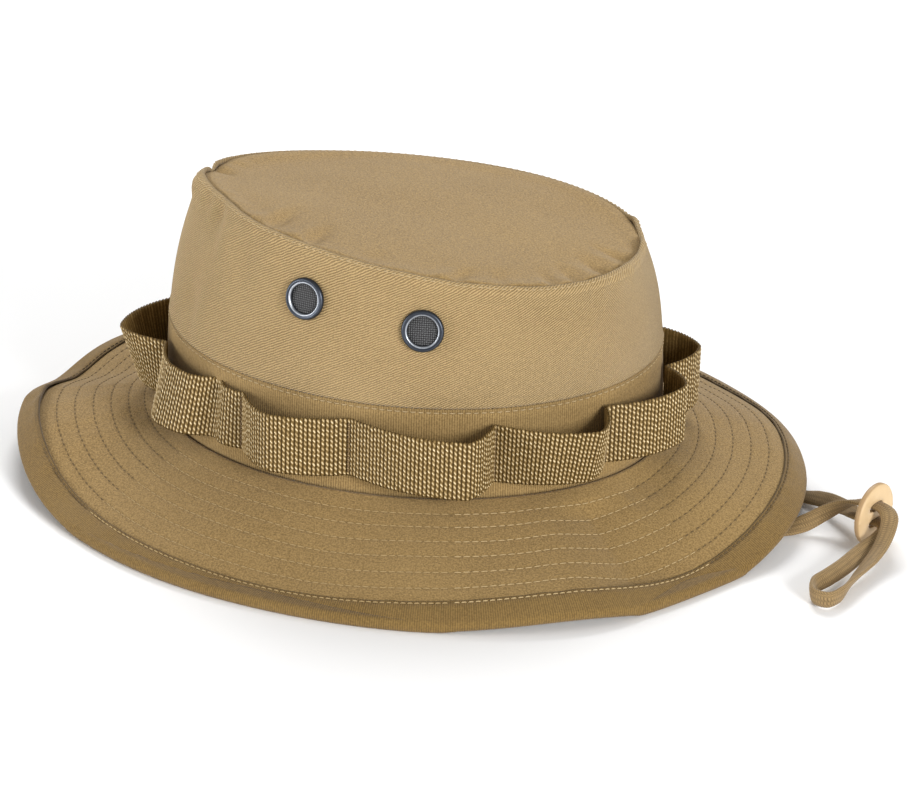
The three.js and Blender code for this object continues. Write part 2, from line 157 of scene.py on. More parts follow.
def ripple(angle: Array, seed: int, low: int, high: int) -> Array:
    """Uneven wave round the hat, of about unit height.

    Formula: a sum of cosines with whole numbers of waves from low to high, random heights and phases.

    Args:
        angle: Angles round the hat, in radians.
        seed: Seed of the random heights and phases.
        low: Fewest waves in one round.
        high: Most waves in one round.

    Returns:
        The wave at each angle.
    """
    draw = np.random.default_rng(seed)
    counts = np.arange(low, high + 1)
    heights = draw.uniform(0.4, 1.0, counts.size)
    phases = draw.uniform(0.0, TURN, counts.size)
    waves = heights * np.cos(np.asarray(angle)[..., None] * counts + phases)
    return waves.sum(-1) / np.sqrt((heights**2).sum())


def round_table(rows: tuple[float, ...], angle: Array) -> Array:
    """Value at an angle on a smooth closed curve through evenly spaced rows (Catmull-Rom).

    Args:
        rows: Values at even steps round the hat, from +X.
        angle: Angles in radians.

    Returns:
        The value at each angle.
    """
    values = np.asarray(rows)
    place = (angle / TURN % 1.0) * values.size
    index = np.floor(place).astype(int)
    t = place - index
    before, start, end, after = (values[(index + k) % values.size] for k in (-1, 0, 1, 2))
    rise_in = (end - before) / 2.0
    rise_out = (after - start) / 2.0
    cubic = 2.0 * (start - end) + rise_in + rise_out
    square = -3.0 * (start - end) - 2.0 * rise_in - rise_out
    return ((cubic * t + square) * t + rise_in) * t + start


@dataclass(frozen=True)
class HatForm:
    """Main form of the hat: its seams and the fall of its brim, in millimetres and degrees."""

    middle: tuple[float, float] = (0.9, 0.3)
    base: tuple[float, float] = (100.7, 79.5)
    base_height: float = 67.9
    base_lean: tuple[float, float] = (1.2, 2.9)
    band_height: float = 37.8
    band_lean: tuple[float, float] = (-0.9, 1.9)
    band_flare: float = 2.0
    tip: tuple[float, float] = (87.1, 72.1)
    tip_offset: tuple[float, float] = (1.3, 1.2)
    tip_height: float = 114.1
    tip_lean: tuple[float, float] = (-5.9, -6.0)
    tip_twist: float = 2.6
    tip_dome: float = 1.5
    lip_front: float = 0.6
    lip_ends: float = 2.4
    shoulder_out: float = 2.6
    shoulder_drop: float = 3.0
    swell: float = 2.0
    side_tall: float = 54.0
    tip_reach: float = 80.0
    cloth: float = 1.8
    gap: float = 0.3
    brim_thick: float = 2.0
    brim_width: float = 50.0
    brim_bend: float = 7.0
    edge: float = 62.2
    binding_half: float = 2.5
    brim_fall: tuple[float, ...] = (
        18.0, 12.6, 17.5, 19.4, 26.0, 23.0, 16.5, 13.4, 14.5, 8.5, 22.4, 26.4, 28.4, 25.0, 22.0, 31.6,
    )
    hem_fall: tuple[float, ...] = (32, 48, 31, 26, 41, 34, 24, 22, 22, 42, 24, 26, 28, 31, 30, 28)

    # Place in degrees, spread in radians and size: the tip's inward pull, and the brim's ridge and sag
    tip_pull: tuple[float, float, float] = (221.0, 0.24, 0.04)
    ridge: tuple[float, float, float] = (191.0, 0.22, 2.4)
    sag: tuple[float, float, float] = (177.0, 0.13, 3.0)

    def lean(self, angle: Array, slopes: tuple[float, float]) -> Array:
        """Height change round a leaning oval: one slope by the cosine and one by the sine."""
        return slopes[0] * np.cos(angle) + slopes[1] * np.sin(angle)

    def oval(self, a: Array, b: Array, angle: Array, offset: tuple[float, float] = (0.0, 0.0)) -> Array:
        """Points of a level oval about the hat's middle, moved by an offset, with zero height."""
        x = self.middle[0] + offset[0] + a * np.cos(angle)
        y = self.middle[1] + offset[1] + b * np.sin(angle)
        return np.stack(np.broadcast_arrays(x, y, 0.0 * x), -1)

    def out(self, angle: Array) -> Array:
        """Level outward direction from the lower crown seam."""
        a, b = self.base
        return unit(np.stack([np.cos(angle) / a, np.sin(angle) / b, 0.0 * angle], -1))

    def base_seam(self, angle: Array) -> Array:
        """Lower crown seam."""
        height = self.base_height + self.lean(angle, self.base_lean)
        return self.oval(*self.base, angle) + height[..., None] * UP

    def root(self, angle: Array) -> Array:
        """Seam between the band and the brim.

        Args:
            angle: Angles round the hat, in radians.

        Returns:
            Points with the last axis holding x, y and z.
        """
        a, b = (size + self.band_flare for size in self.base)
        height = self.base_height + self.lean(angle, self.base_lean)
        height = height - self.band_height - self.lean(angle, self.band_lean)
        return self.oval(a, b, angle) + height[..., None] * UP

    def lip(self, angle: Array) -> Array:
        """How far the rim of the side stands above the tip."""
        return self.lip_front + (self.lip_ends - self.lip_front) * np.cos(angle) ** 2

    def tip_surface(self, angle: Array, share: Array) -> Array:
        """Tip at a share of the way out from its middle: a leaning, twisted oval with a low dome.

        Args:
            angle: Angles round the hat, in radians.
            share: Share of the way out.

        Returns:
            Points with the last axis holding x, y and z.
        """
        a, b = self.tip
        place, spread, pull = self.tip_pull
        share = share * (1.0 - pull * bell(from_degrees(angle, place), spread))
        points = self.oval(a * share, b * share, angle, self.tip_offset)
        height = self.tip_height + self.lean(angle, self.tip_lean) * share
        height = height + self.tip_twist * np.sin(2.0 * angle) * share**2
        height = height + self.tip_dome * (1.0 - share**2)
        height = height - self.lip(angle) * share**2 - self.lip_front * (1.0 - share**2)
        return points + height[..., None] * UP

    def tip_seam(self, angle: Array) -> Array:
        """Seam between the side and the tip, on the outer face of the side."""
        seam = self.tip_surface(angle, np.ones_like(angle)) + 2.0 * self.gap * self.out(angle)
        return seam + self.lip(angle)[..., None] * UP

    def side_surface(self, angle: Array, share: Array) -> Array:
        """Outer face of the side from the lower crown seam (0) to the tip seam (1).

        Formula: up to the roll the wall is a straight lift from the seam to the shoulder with a sine
        belly, and the rest is a quadratic curve from the shoulder over its corner to the tip seam.

        Args:
            angle: Angles round the hat, in radians.
            share: Share of the way up.

        Returns:
            Points with the last axis holding x, y and z.
        """
        roll_start = 0.93
        out = self.out(angle)
        foot = self.base_seam(angle) + 0.1 * self.gap * UP
        seam = self.tip_seam(angle)
        corner = seam + self.shoulder_out * out
        shoulder = corner - self.shoulder_drop * UP
        wall = np.clip(share / roll_start, 0.0, 1.0)[..., None]
        roll = np.clip((share - roll_start) / (1.0 - roll_start), 0.0, 1.0)[..., None]
        lift = foot + (shoulder - foot) * wall + self.swell * np.sin(math.pi * wall) * out
        curve = (1.0 - roll) ** 2 * shoulder + 2.0 * roll * (1.0 - roll) * corner + roll**2 * seam
        return np.where(roll > 0.0, curve, lift)

    def brim_surface(self, angle: Array, along: Array) -> tuple[Array, Array]:
        """Middle of the brim cloth and its upward normal.

        Formula: the cloth keeps its cut length. Its fall below level turns by a soft step from the
        brim's to the binding's, and the heights are summed along it and kept off the floor. A pointed
        ridge and a soft sag beside it are added at the left end, growing from the root outwards.

        Args:
            angle: Angles of the sections, one axis.
            along: Distances from the root along the cloth, one axis, evenly spaced.

        Returns:
            Points and normals with axes section, distance, and x, y, z.
        """
        step = along[1] - along[0]
        turn = smooth(self.brim_width - self.brim_bend, self.brim_width + self.brim_bend, along - step / 2.0)
        brim = np.radians(round_table(self.brim_fall, angle))[:, None]
        hem = np.radians(round_table(self.hem_fall, angle))[:, None]
        fall = brim + (hem - brim) * turn
        start = along[0]
        reach = start + np.cumsum(np.cos(fall) * step, 1) - np.cos(fall[:, :1]) * step
        drop = start * np.sin(brim) + np.cumsum(np.sin(fall) * step, 1) - np.sin(fall[:, :1]) * step
        root = self.root(angle)
        place, spread, tall = self.ridge
        ridge = tall * np.maximum(1.0 - np.abs(from_degrees(angle, place)) / spread, 0.0)
        place, spread, deep = self.sag
        sag = deep * bell(from_degrees(angle, place), spread)
        fold = (ridge - sag)[:, None] * np.clip(along / self.brim_width, 0.0, 1.1)
        height = np.maximum(root[:, 2:] - self.brim_thick / 2.0 - drop + fold, self.binding_half)
        out = self.out(angle)
        points = root[:, None, :] * (1.0 - UP) + reach[..., None] * out[:, None, :] + height[..., None] * UP
        rise = np.gradient(height, axis=1)
        run = np.gradient(reach, axis=1)
        normals = unit(run[..., None] * UP - rise[..., None] * out[:, None, :])
        return points, normals


FORM = HatForm()


def quads(rows: int, columns: int, wrap_rows: bool, wrap_columns: bool) -> Array:
    """Corner numbers of the patches of a grid of points, row by row.

    Args:
        rows: Rows of points.
        columns: Points in each row.
        wrap_rows: Whether the last row is joined to the first.
        wrap_columns: Whether the last column is joined to the first.

    Returns:
        Four corners for each patch.
    """
    down = np.arange(rows if wrap_rows else rows - 1)[:, None]
    across = np.arange(columns if wrap_columns else columns - 1)[None, :]
    next_down = (down + 1) % rows
    next_across = (across + 1) % columns
    corners = (
        down * columns + across,
        down * columns + next_across,
        next_down * columns + next_across,
        next_down * columns + across,
    )
    return np.stack([np.broadcast_to(c, (down.size, across.size)) for c in corners], -1).reshape(-1, 4)


def grid_normals(points: Array, wrap_rows: bool, wrap_columns: bool) -> Array:
    """Normals of a grid surface: the cross product of its differences along both ways.

    Args:
        points: Points of the grid.
        wrap_rows: Whether the last row is joined to the first.
        wrap_columns: Whether the last column is joined to the first.

    Returns:
        A unit normal for each point.
    """

    def change(axis: int, wrap: bool) -> Array:
        """Difference of neighbours along one axis."""
        if wrap:
            return np.roll(points, -1, axis) - np.roll(points, 1, axis)
        return np.gradient(points, axis=axis)

    return unit(np.cross(change(0, wrap_rows), change(1, wrap_columns)))


def linked(name: str, data: bpy.types.ID) -> bpy.types.Object:
    """New object that holds the data, linked to the scene."""
    item = bpy.data.objects.new(name, data)
    bpy.context.scene.collection.objects.link(item)
    return item


@dataclass
class Body:
    """Points, faces, and values of one mesh before it goes into Blender."""

    points: Array
    faces: list[Array]
    uv: Array | None = None
    values: dict[str, Array] = field(default_factory=dict)
    uv_period: float = 0.0

    @staticmethod
    def joined(bodies: list["Body"]) -> "Body":
        """One body from several that share no points and hold no values.

        Args:
            bodies: The bodies to join.

        Returns:
            The joined body.
        """
        starts = np.cumsum([0] + [len(body.points) for body in bodies])
        faces = [face + start for body, start in zip(bodies, starts) for face in body.faces]
        return Body(np.concatenate([body.points for body in bodies]), faces)

    def welded(self) -> "Body":
        """Makes points one that share a place to a hundredth of a millimetre.

        Returns:
            The welded body.
        """
        nudge = 0.0013
        places = np.round(self.points + nudge, 2)
        _, first, place = np.unique(places, axis=0, return_index=True, return_inverse=True)
        values = {key: value[first] for key, value in self.values.items()}
        return Body(self.points[first], [place.ravel()[face] for face in self.faces], None, values)

    def outward(self) -> "Body":
        """Turns the faces so that the volume is positive.

        Returns:
            The same body.
        """
        volume = 0.0
        for face in self.faces:
            for k in range(1, face.shape[1] - 1):
                a, b, c = (self.points[face[:, i]] for i in (0, k, k + 1))
                volume += float(np.einsum("ij,ij->", a, np.cross(b, c)))
        if volume < 0.0:
            self.faces = [face[:, ::-1] for face in self.faces]
        return self

    def loop_uv(self) -> Array:
        """Cloth coordinates of every face corner, carried on by a period where a face closes the round.

        Returns:
            Two coordinates for each corner.
        """
        parts = []
        for face in self.faces:
            corner = self.uv[face]
            if self.uv_period > 0.0:
                behind = corner[..., 0].max(1, keepdims=True) - corner[..., 0] > self.uv_period / 2.0
                corner[..., 0] += self.uv_period * behind
            parts.append(corner.reshape(-1, 2))
        return np.concatenate(parts)

    def to_object(self, name: str) -> bpy.types.Object:
        """Writes the mesh in metres, shaded smooth, and links its object at the origin.

        Args:
            name: Name of the object and of its mesh.

        Returns:
            The new object.
        """
        mesh = bpy.data.meshes.new(name)
        loops = np.concatenate([face.ravel() for face in self.faces]).astype(np.int32)
        sizes = np.concatenate([np.full(len(face), face.shape[1]) for face in self.faces]).astype(np.int32)
        mesh.vertices.add(len(self.points))
        mesh.vertices.foreach_set("co", (self.points * MM).astype(np.float32).ravel())
        mesh.loops.add(loops.size)
        mesh.loops.foreach_set("vertex_index", loops)
        mesh.polygons.add(sizes.size)
        mesh.polygons.foreach_set("loop_start", (np.cumsum(sizes) - sizes).astype(np.int32))
        mesh.polygons.foreach_set("use_smooth", np.full(sizes.size, True))
        if self.uv is not None:
            layer = mesh.uv_layers.new(name="cloth")
            layer.data.foreach_set("uv", self.loop_uv().astype(np.float32).ravel())
        for key, value in self.values.items():
            layer = mesh.attributes.new(key, "FLOAT", "POINT")
            layer.data.foreach_set("value", value.astype(np.float32).ravel())
        mesh.update(calc_edges=True)
        mesh.validate()
        return linked(name, mesh)


def closed_loop(loop: Array, values: dict[str, Array], uv: Array | None = None, period: float = 0.0) -> Body:
    """Body of a grid that closes on itself both ways.

    Args:
        loop: Points with axes round, section, and x, y, z.
        values: Named values on the grid.
        uv: Cloth coordinates on the grid, if it has them.
        period: Length of the cloth coordinates in one round.

    Returns:
        The closed body.
    """
    faces = quads(*loop.shape[:2], True, True)
    held = {key: value.ravel() for key, value in values.items()}
    flat_uv = None if uv is None else uv.reshape(-1, 2)
    return Body(loop.reshape(-1, 3), [faces], flat_uv, held, period).outward()


def ring_shell(outer: Array, inner: Array, uv: Array, values: dict[str, Array]) -> Body:
    """Closed wall round the hat between an outer and an inner grid.

    Args:
        outer: Outer points with axes angle, height, and x, y, z.
        inner: Inner points of the same shape.
        uv: Cloth coordinates of the outer grid in millimetres, used for both faces.
        values: Named values on the outer grid, repeated on the inner one.

    Returns:
        The closed body.
    """
    loop = np.concatenate([outer, inner[:, ::-1]], 1)
    both = {key: np.concatenate([value, value[:, ::-1]], 1) for key, value in values.items()}
    period = float(uv[1, 0, 0] - uv[0, 0, 0]) * loop.shape[0]
    return closed_loop(loop, both, np.concatenate([uv, uv[:, ::-1]], 1), period)


def plate(top: Array, under: Array, values: dict[str, Array], level_uv: bool = False) -> Body:
    """Closed plate between two square grids, with a rim of faces round their edges.

    Args:
        top: Points of the upper grid.
        under: Points of the lower grid, of the same shape.
        values: Named values of the points of both grids.
        level_uv: Whether the level place of each point is its cloth coordinate.

    Returns:
        The closed body.
    """
    n = len(top)
    steps = np.arange(n - 1)
    edge = np.concatenate([steps, steps * n + n - 1, n * n - 1 - steps, (n - 1 - steps) * n])
    after = np.roll(edge, -1)
    rim = np.stack([after, edge, edge + n * n, after + n * n], -1)
    faces = quads(n, n, False, False)
    points = np.concatenate([top.reshape(-1, 3), under.reshape(-1, 3)])
    uv = points[:, :2] if level_uv else None
    return Body(points, [faces, faces[:, ::-1] + n * n, rim], uv, values).outward()


@dataclass(frozen=True)
class Stitch:
    """One stitch of thread: its pitch along the seam, its length and its thread radius in millimetres."""

    pitch: float
    length: float
    radius: float
    sides: int = 5

    def row(self, points: Array, normals: Array, closed: bool = True) -> Body:
        """Stitches laid along a line of points.

        Formula: the line is measured by its length, a stitch stands at each pitch, and each stitch is a
        tube of five rings that rises in the middle and dips into the cloth at both ends.

        Args:
            points: Points of the line.
            normals: Normals of the cloth at those points.
            closed: Whether the line comes back to its start.

        Returns:
            One body with all stitches.
        """
        if closed:
            points = np.concatenate([points, points[:1]])
            normals = np.concatenate([normals, normals[:1]])
        lengths = run_lengths(points)
        count = max(1, int(lengths[-1] / self.pitch))
        places = (np.arange(count) + 0.5) * lengths[-1] / count
        half = self.length / 2.0
        start = read_line(places - half, lengths, points)
        end = read_line(places + half, lengths, points)
        middle = (start + end) / 2.0
        normal = unit(read_line(places, lengths, normals))
        run = unit(end - start)
        side = unit(np.cross(normal, run))
        stations = np.array([-1.0, -0.62, 0.0, 0.62, 1.0])
        thick = np.array([0.35, 0.9, 1.0, 0.9, 0.35]) * self.radius
        rise = np.array([-0.7, 0.25, 0.55, 0.25, -0.7]) * self.radius
        centre = middle[:, None] + stations[:, None] * half * run[:, None] + rise[:, None] * normal[:, None]
        ring = spokes(turns(self.sides), side[:, None, None], normal[:, None, None])
        tube = centre[:, :, None] + thick[:, None, None] * ring
        one = quads(stations.size, self.sides, False, True)
        size = stations.size * self.sides
        caps = np.stack([np.arange(self.sides)[::-1], np.arange(self.sides) + size - self.sides])
        shift = np.arange(count)[:, None, None] * size
        faces = [(one[None] + shift).reshape(-1, 4), (caps[None] + shift).reshape(-1, self.sides)]
        return Body(tube.reshape(-1, 3), faces).outward()


class Nodes:
    """Short way to lay out a node tree."""

    def __init__(self, tree: bpy.types.NodeTree) -> None:
        """Keeps the tree to build in."""
        self.tree = tree

    def add(self, kind: str, links: dict | None = None, **settings: object) -> bpy.types.Node:
        """Adds a node, sets its properties, and sets or links its inputs.

        Args:
            kind: Node type.
            links: Input name or number to a socket that feeds it or a value that it keeps.
            settings: Properties of the node.

        Returns:
            The new node.
        """
        node = self.tree.nodes.new(kind)
        for key, value in settings.items():
            setattr(node, key, value)
        self.feed(node, links or {})
        return node

    def feed(self, node: bpy.types.Node, links: dict) -> None:
        """Links sockets to a node's inputs, and sets the inputs that take a plain value.

        Args:
            node: The node to feed.
            links: Input name or number to a socket or a value.
        """
        for key, value in links.items():
            if isinstance(value, bpy.types.NodeSocket):
                self.tree.links.new(value, node.inputs[key])
            else:
                node.inputs[key].default_value = value

    def noise(
        self, scale: float, detail: float, vector: bpy.types.NodeSocket | None = None
    ) -> bpy.types.NodeSocket:
        """Noise at the object's own place, or along another vector.

        Args:
            scale: Scale of the noise.
            detail: How many finer noises are added.
            vector: Place to read it at, if it isn't the object's.

        Returns:
            Its value.
        """
        if vector is None:
            vector = self.add("ShaderNodeTexCoord").outputs["Object"]
        node = self.add("ShaderNodeTexNoise", {"Vector": vector, "Scale": scale, "Detail": detail})
        return node.outputs[0]

    def value(self, name: str) -> bpy.types.NodeSocket:
        """A named value that the mesh holds."""
        return self.add("ShaderNodeAttribute", attribute_name=name).outputs["Fac"]

    def bump(self, height: bpy.types.NodeSocket, strength: float, relief: float) -> bpy.types.NodeSocket:
        """Normal of a surface that is raised by a height, up to a relief in millimetres."""
        node = self.add("ShaderNodeBump", {"Height": height, "Strength": strength, "Distance": relief * MM})
        return node.outputs["Normal"]

    def math(self, operation: str, *values: object) -> bpy.types.NodeSocket:
        """Result of a math node on sockets or numbers."""
        node = self.add("ShaderNodeMath", dict(enumerate(values)), operation=operation)
        return node.outputs[0]

    def stirred(self, level: bpy.types.NodeSocket, noise: object, amount: float) -> bpy.types.NodeSocket:
        """A level made uneven by a noise about its middle."""
        return self.math("MULTIPLY_ADD", self.math("SUBTRACT", noise, 0.5), amount, level)

    def mix(self, share: object, low: object, high: object) -> bpy.types.NodeSocket:
        """Colour between low and high by a share."""
        node = self.add("ShaderNodeMix", {0: share, 6: low, 7: high}, data_type="RGBA")
        return node.outputs[2]


def effect_group(name: str, inputs: dict[str, tuple[str, object]], outputs: dict[str, str]) -> tuple:
    """New shader node group with named sockets.

    Args:
        name: Name of the group.
        inputs: Socket name to its type and default value.
        outputs: Socket name to its type.

    Returns:
        The group tree, a layout helper, its input node and its output node.
    """
    tree = bpy.data.node_groups.new(name, "ShaderNodeTree")
    for key, (kind, value) in inputs.items():
        socket = tree.interface.new_socket(key, in_out="INPUT", socket_type=kind)
        if value is not None:
            socket.default_value = value
    for key, kind in outputs.items():
        tree.interface.new_socket(key, in_out="OUTPUT", socket_type=kind)
    nodes = Nodes(tree)
    return tree, nodes, nodes.add("NodeGroupInput"), nodes.add("NodeGroupOutput")


FLOAT = "NodeSocketFloat"
COLOUR = "NodeSocketColor"
VECTOR = "NodeSocketVector"


class ClothEffects:
    """Shader effects that several cloths share: twill lines, ribs, and a soft uneven colour."""

    def __init__(self) -> None:
        """Builds the groups once."""
        self.lines = self._lines()
        self.mottle = self._mottle()

    def _lines(self) -> bpy.types.NodeTree:
        """Yarn lines on cloth coordinates: a sine across slanted lines, broken by crossing yarns and noise.

        Formula: the lines are level in v minus slope times u, and the crossing yarns run along v.

        Returns:
            The group.
        """
        inputs = {
            "Cloth": (VECTOR, None),
            "Slope": (FLOAT, 0.42),
            "Lines": (FLOAT, 1.0),
            "Upright": (FLOAT, 1.0),
            "Crossing": (FLOAT, 0.5),
            "Roughen": (FLOAT, 0.3),
        }
        tree, n, put, get = effect_group("yarn lines", inputs, {"Height": FLOAT, "Mask": FLOAT})
        cloth = put.outputs["Cloth"]
        along, up, _ = n.add("ShaderNodeSeparateXYZ", {0: cloth}).outputs
        level = n.math("SUBTRACT", up, n.math("MULTIPLY", along, put.outputs["Slope"]))
        level = n.math("MULTIPLY_ADD", n.noise(0.3, 2.0, cloth), 0.8, level)
        wale = n.math("SINE", n.math("MULTIPLY", n.math("MULTIPLY", level, put.outputs["Lines"]), TURN))
        upright = n.math("MULTIPLY", n.math("MULTIPLY", along, put.outputs["Upright"]), TURN)
        cross = n.math("MULTIPLY", n.math("SINE", upright), put.outputs["Crossing"])
        fine = n.math("SUBTRACT", n.noise(1.6, 3.0, cloth), 0.5)
        rough = n.math("MULTIPLY", fine, put.outputs["Roughen"])
        height = n.math("ADD", n.math("ADD", wale, cross), rough)
        mask = n.math("MULTIPLY_ADD", height, 0.8, 0.5)
        tree.links.new(height, get.inputs["Height"])
        tree.links.new(mask, get.inputs["Mask"])
        return tree

    def _mottle(self) -> bpy.types.NodeTree:
        """Uneven dye: two noises of the object's place mix a base colour towards a dark and a pale one.

        Returns:
            The group.
        """
        inputs = {
            "Base": (COLOUR, None),
            "Dark": (COLOUR, None),
            "Pale": (COLOUR, None),
            "Yarn": (FLOAT, 0.5),
            "Amount": (FLOAT, 0.5),
        }
        tree, n, put, get = effect_group("uneven dye", inputs, {"Color": COLOUR})
        soft = n.math("MULTIPLY", n.math("SUBTRACT", n.noise(24.0, 4.0), 0.35), put.outputs["Amount"])
        yarn = n.stirred(put.outputs["Yarn"], n.noise(1300.0, 3.0), 2.5)
        low = n.mix(n.math("SUBTRACT", 1.0, yarn), put.outputs["Base"], put.outputs["Dark"])
        high = n.mix(soft, low, put.outputs["Pale"])
        tree.links.new(high, get.inputs["Color"])
        return tree


@dataclass(frozen=True)
class Cloth:
    """A cloth finish: its colours, the slant and spacing of its yarns, and how they stand out."""

    name: str
    base: tuple[float, float, float]
    dark: tuple[float, float, float]
    pale: tuple[float, float, float]
    relief: float
    slope: float = 0.0
    lines: float = 0.0
    upright: float = 1.0
    crossing: float = 0.0
    roughen: float = 0.6
    mottle: float = 0.5
    roughness: float = 0.92
    sheen: float = 0.12

    def material(self, effects: ClothEffects) -> bpy.types.Material:
        """Makes the material: yarn lines give the bump and part of the colour, and the mesh value groove
        paints shade into seams, stitch channels and crevices.

        Args:
            effects: Groups that the cloths share.

        Returns:
            The material.
        """
        material, n, shader = new_material(self.name)
        uv = n.add("ShaderNodeUVMap", uv_map="cloth")
        yarns = {
            "Cloth": uv.outputs[0],
            "Slope": self.slope,
            "Lines": self.lines,
            "Upright": self.upright,
            "Crossing": self.crossing,
            "Roughen": self.roughen,
        }
        lines = n.add("ShaderNodeGroup", yarns, node_tree=effects.lines)
        dyes = {
            "Base": (*self.base, 1.0),
            "Dark": (*self.dark, 1.0),
            "Pale": (*self.pale, 1.0),
            "Yarn": lines.outputs["Mask"],
            "Amount": self.mottle,
        }
        dye = n.add("ShaderNodeGroup", dyes, node_tree=effects.mottle)
        # Painted shade: where the mesh value groove is high, the colour goes towards this dark, as the shade
        # in seams, stitch channels and crevices.
        seam = (*(0.3 * part for part in self.dark), 1.0)
        look = {
            "Base Color": n.mix(n.value("groove"), dye.outputs["Color"], seam),
            "Normal": n.bump(lines.outputs["Height"], 1.0, self.relief),
            "Roughness": self.roughness,
            "Sheen Weight": self.sheen,
            "Sheen Roughness": 0.5,
            "Specular IOR Level": 0.2,
        }
        n.feed(shader, look)
        return material


def new_material(name: str) -> tuple[bpy.types.Material, Nodes, bpy.types.Node]:
    """Node material with nothing but a Principled shader on its output.

    Args:
        name: Name of the material.

    Returns:
        The material, a layout helper and the shader.
    """
    material = bpy.data.materials.new(name)
    material.use_nodes = True
    nodes = Nodes(material.node_tree)
    material.node_tree.nodes.clear()
    shader = nodes.add("ShaderNodeBsdfPrincipled")
    nodes.add("ShaderNodeOutputMaterial", {"Surface": shader.outputs[0]})
    return material, nodes, shader


@dataclass(frozen=True)
class Finishes:
    """All finishes of the hat, as linear colours."""

    twill: Cloth = Cloth(
        name="coyote twill",
        base=(0.49, 0.343, 0.163),
        dark=(0.25, 0.168, 0.072),
        pale=(0.52, 0.375, 0.187),
        slope=0.58,
        lines=1.0,
        crossing=0.15,
        relief=0.16,
    )
    # The crown's coyote twill without twill lines, darkened as painted shade for the tip.
    plain: Cloth = Cloth(
        name="shaded tip twill",
        base=(0.40, 0.262, 0.102),
        dark=(0.21, 0.135, 0.052),
        pale=(0.43, 0.30, 0.14),
        relief=0.14,
        roughen=2.6,
    )
    # The crown's coyote twill, darkened as painted shade for the brim, which lies in the crown's shadow.
    brim: Cloth = Cloth(
        name="shaded brim twill",
        base=(0.34, 0.22, 0.084),
        dark=(0.185, 0.115, 0.038),
        pale=(0.37, 0.25, 0.103),
        relief=0.14,
        roughen=2.6,
    )
    # The band's ribbed cotton, darkened as painted shade for the binding.
    rib: Cloth = Cloth(
        name="shaded ribbed cotton",
        base=(0.24, 0.148, 0.045),
        dark=(0.125, 0.074, 0.022),
        pale=(0.30, 0.198, 0.074),
        upright=1.1,
        crossing=0.6,
        relief=0.08,
        roughen=1.4,
    )
    band: Cloth = Cloth(
        name="band cotton",
        base=(0.352, 0.231, 0.091),
        dark=(0.187, 0.118, 0.042),
        pale=(0.396, 0.273, 0.121),
        upright=1.1,
        crossing=0.6,
        relief=0.08,
        roughen=1.4,
    )

    @staticmethod
    def thread(name: str, colour: tuple[float, float, float]) -> bpy.types.Material:
        """Sewing thread: a plain matt colour broken by a fine twist.

        Args:
            name: Name of the material.
            colour: Linear colour of the thread.

        Returns:
            The material.
        """
        material, n, shader = new_material(name)
        dark = tuple(0.7 * part for part in colour)
        shade = n.mix(n.noise(2500.0, 1.0), (*dark, 1.0), (*colour, 1.0))
        n.feed(shader, {"Base Color": shade, "Roughness": 0.75})
        return material

    @staticmethod
    def webbing() -> bpy.types.Material:
        """Webbing: painted highlights on the yarn beads over painted shade in the gaps, by the height of each
        bead kept on the mesh.

        Returns:
            The material.
        """
        material, n, shader = new_material("woven webbing")
        fibre = n.noise(1300.0, 3.0)
        level = n.stirred(n.value("grain"), fibre, 0.35)
        # Ramp from painted shade in the gaps to painted highlights on the bead tops.
        bead_light_ramp = n.add("ShaderNodeValToRGB", {0: level})
        first, last = bead_light_ramp.color_ramp.elements
        first.position = 0.1
        first.color = (0.05, 0.028, 0.006, 1.0)
        last.position = 0.86
        last.color = (0.95, 0.82, 0.55, 1.0)
        for position, colour in ((0.38, (0.145, 0.09, 0.028)), (0.6, (0.37, 0.25, 0.103))):
            bead_light_ramp.color_ramp.elements.new(position).color = (*colour, 1.0)
        look = {
            "Base Color": bead_light_ramp.outputs[0],
            "Normal": n.bump(fibre, 0.5, 0.1),
            "Roughness": 0.6,
            "Specular IOR Level": 0.12,
        }
        n.feed(shader, look)
        return material

    @staticmethod
    def lace() -> bpy.types.Material:
        """Braided lace: colour by the braid's height, kept as a value on the mesh, with painted shade in the
        braid's hollows.

        Returns:
            The material.
        """
        material, n, shader = new_material("braided lace")
        fibre = n.noise(1500.0, 3.0)
        level = n.stirred(n.value("braid"), fibre, 0.4)
        # Painted shade: the colour falls to a dark brown in the braid's hollows.
        look = {
            "Base Color": n.mix(level, (0.075, 0.045, 0.015, 1.0), (0.35, 0.23, 0.095, 1.0)),
            "Normal": n.bump(fibre, 0.4, 0.1),
            "Roughness": 0.85,
            "Sheen Weight": 0.15,
        }
        n.feed(shader, look)
        return material

    @staticmethod
    def leather() -> bpy.types.Material:
        """Smooth tan leather with a fine grain and darker cut edges.

        Returns:
            The material.
        """
        material, n, shader = new_material("tan leather")
        place = n.add("ShaderNodeTexCoord")
        grain = n.add("ShaderNodeTexVoronoi", {"Vector": place.outputs["Object"], "Scale": 1600.0})
        face = n.mix(n.noise(160.0, 4.0), (0.56, 0.39, 0.205, 1.0), (0.72, 0.53, 0.30, 1.0))
        look = {
            "Base Color": n.mix(n.value("cut_edge"), face, (0.42, 0.27, 0.13, 1.0)),
            "Normal": n.bump(grain.outputs[0], 0.4, 0.08),
            "Roughness": 0.5,
        }
        n.feed(shader, look)
        return material

    @staticmethod
    def gunmetal() -> bpy.types.Material:
        """Satin blue-grey metal with a painted highlight, a pale colour along the ring's inner lip.

        Returns:
            The material.
        """
        material, n, shader = new_material("gunmetal")
        smear = n.noise(400.0, 5.0)
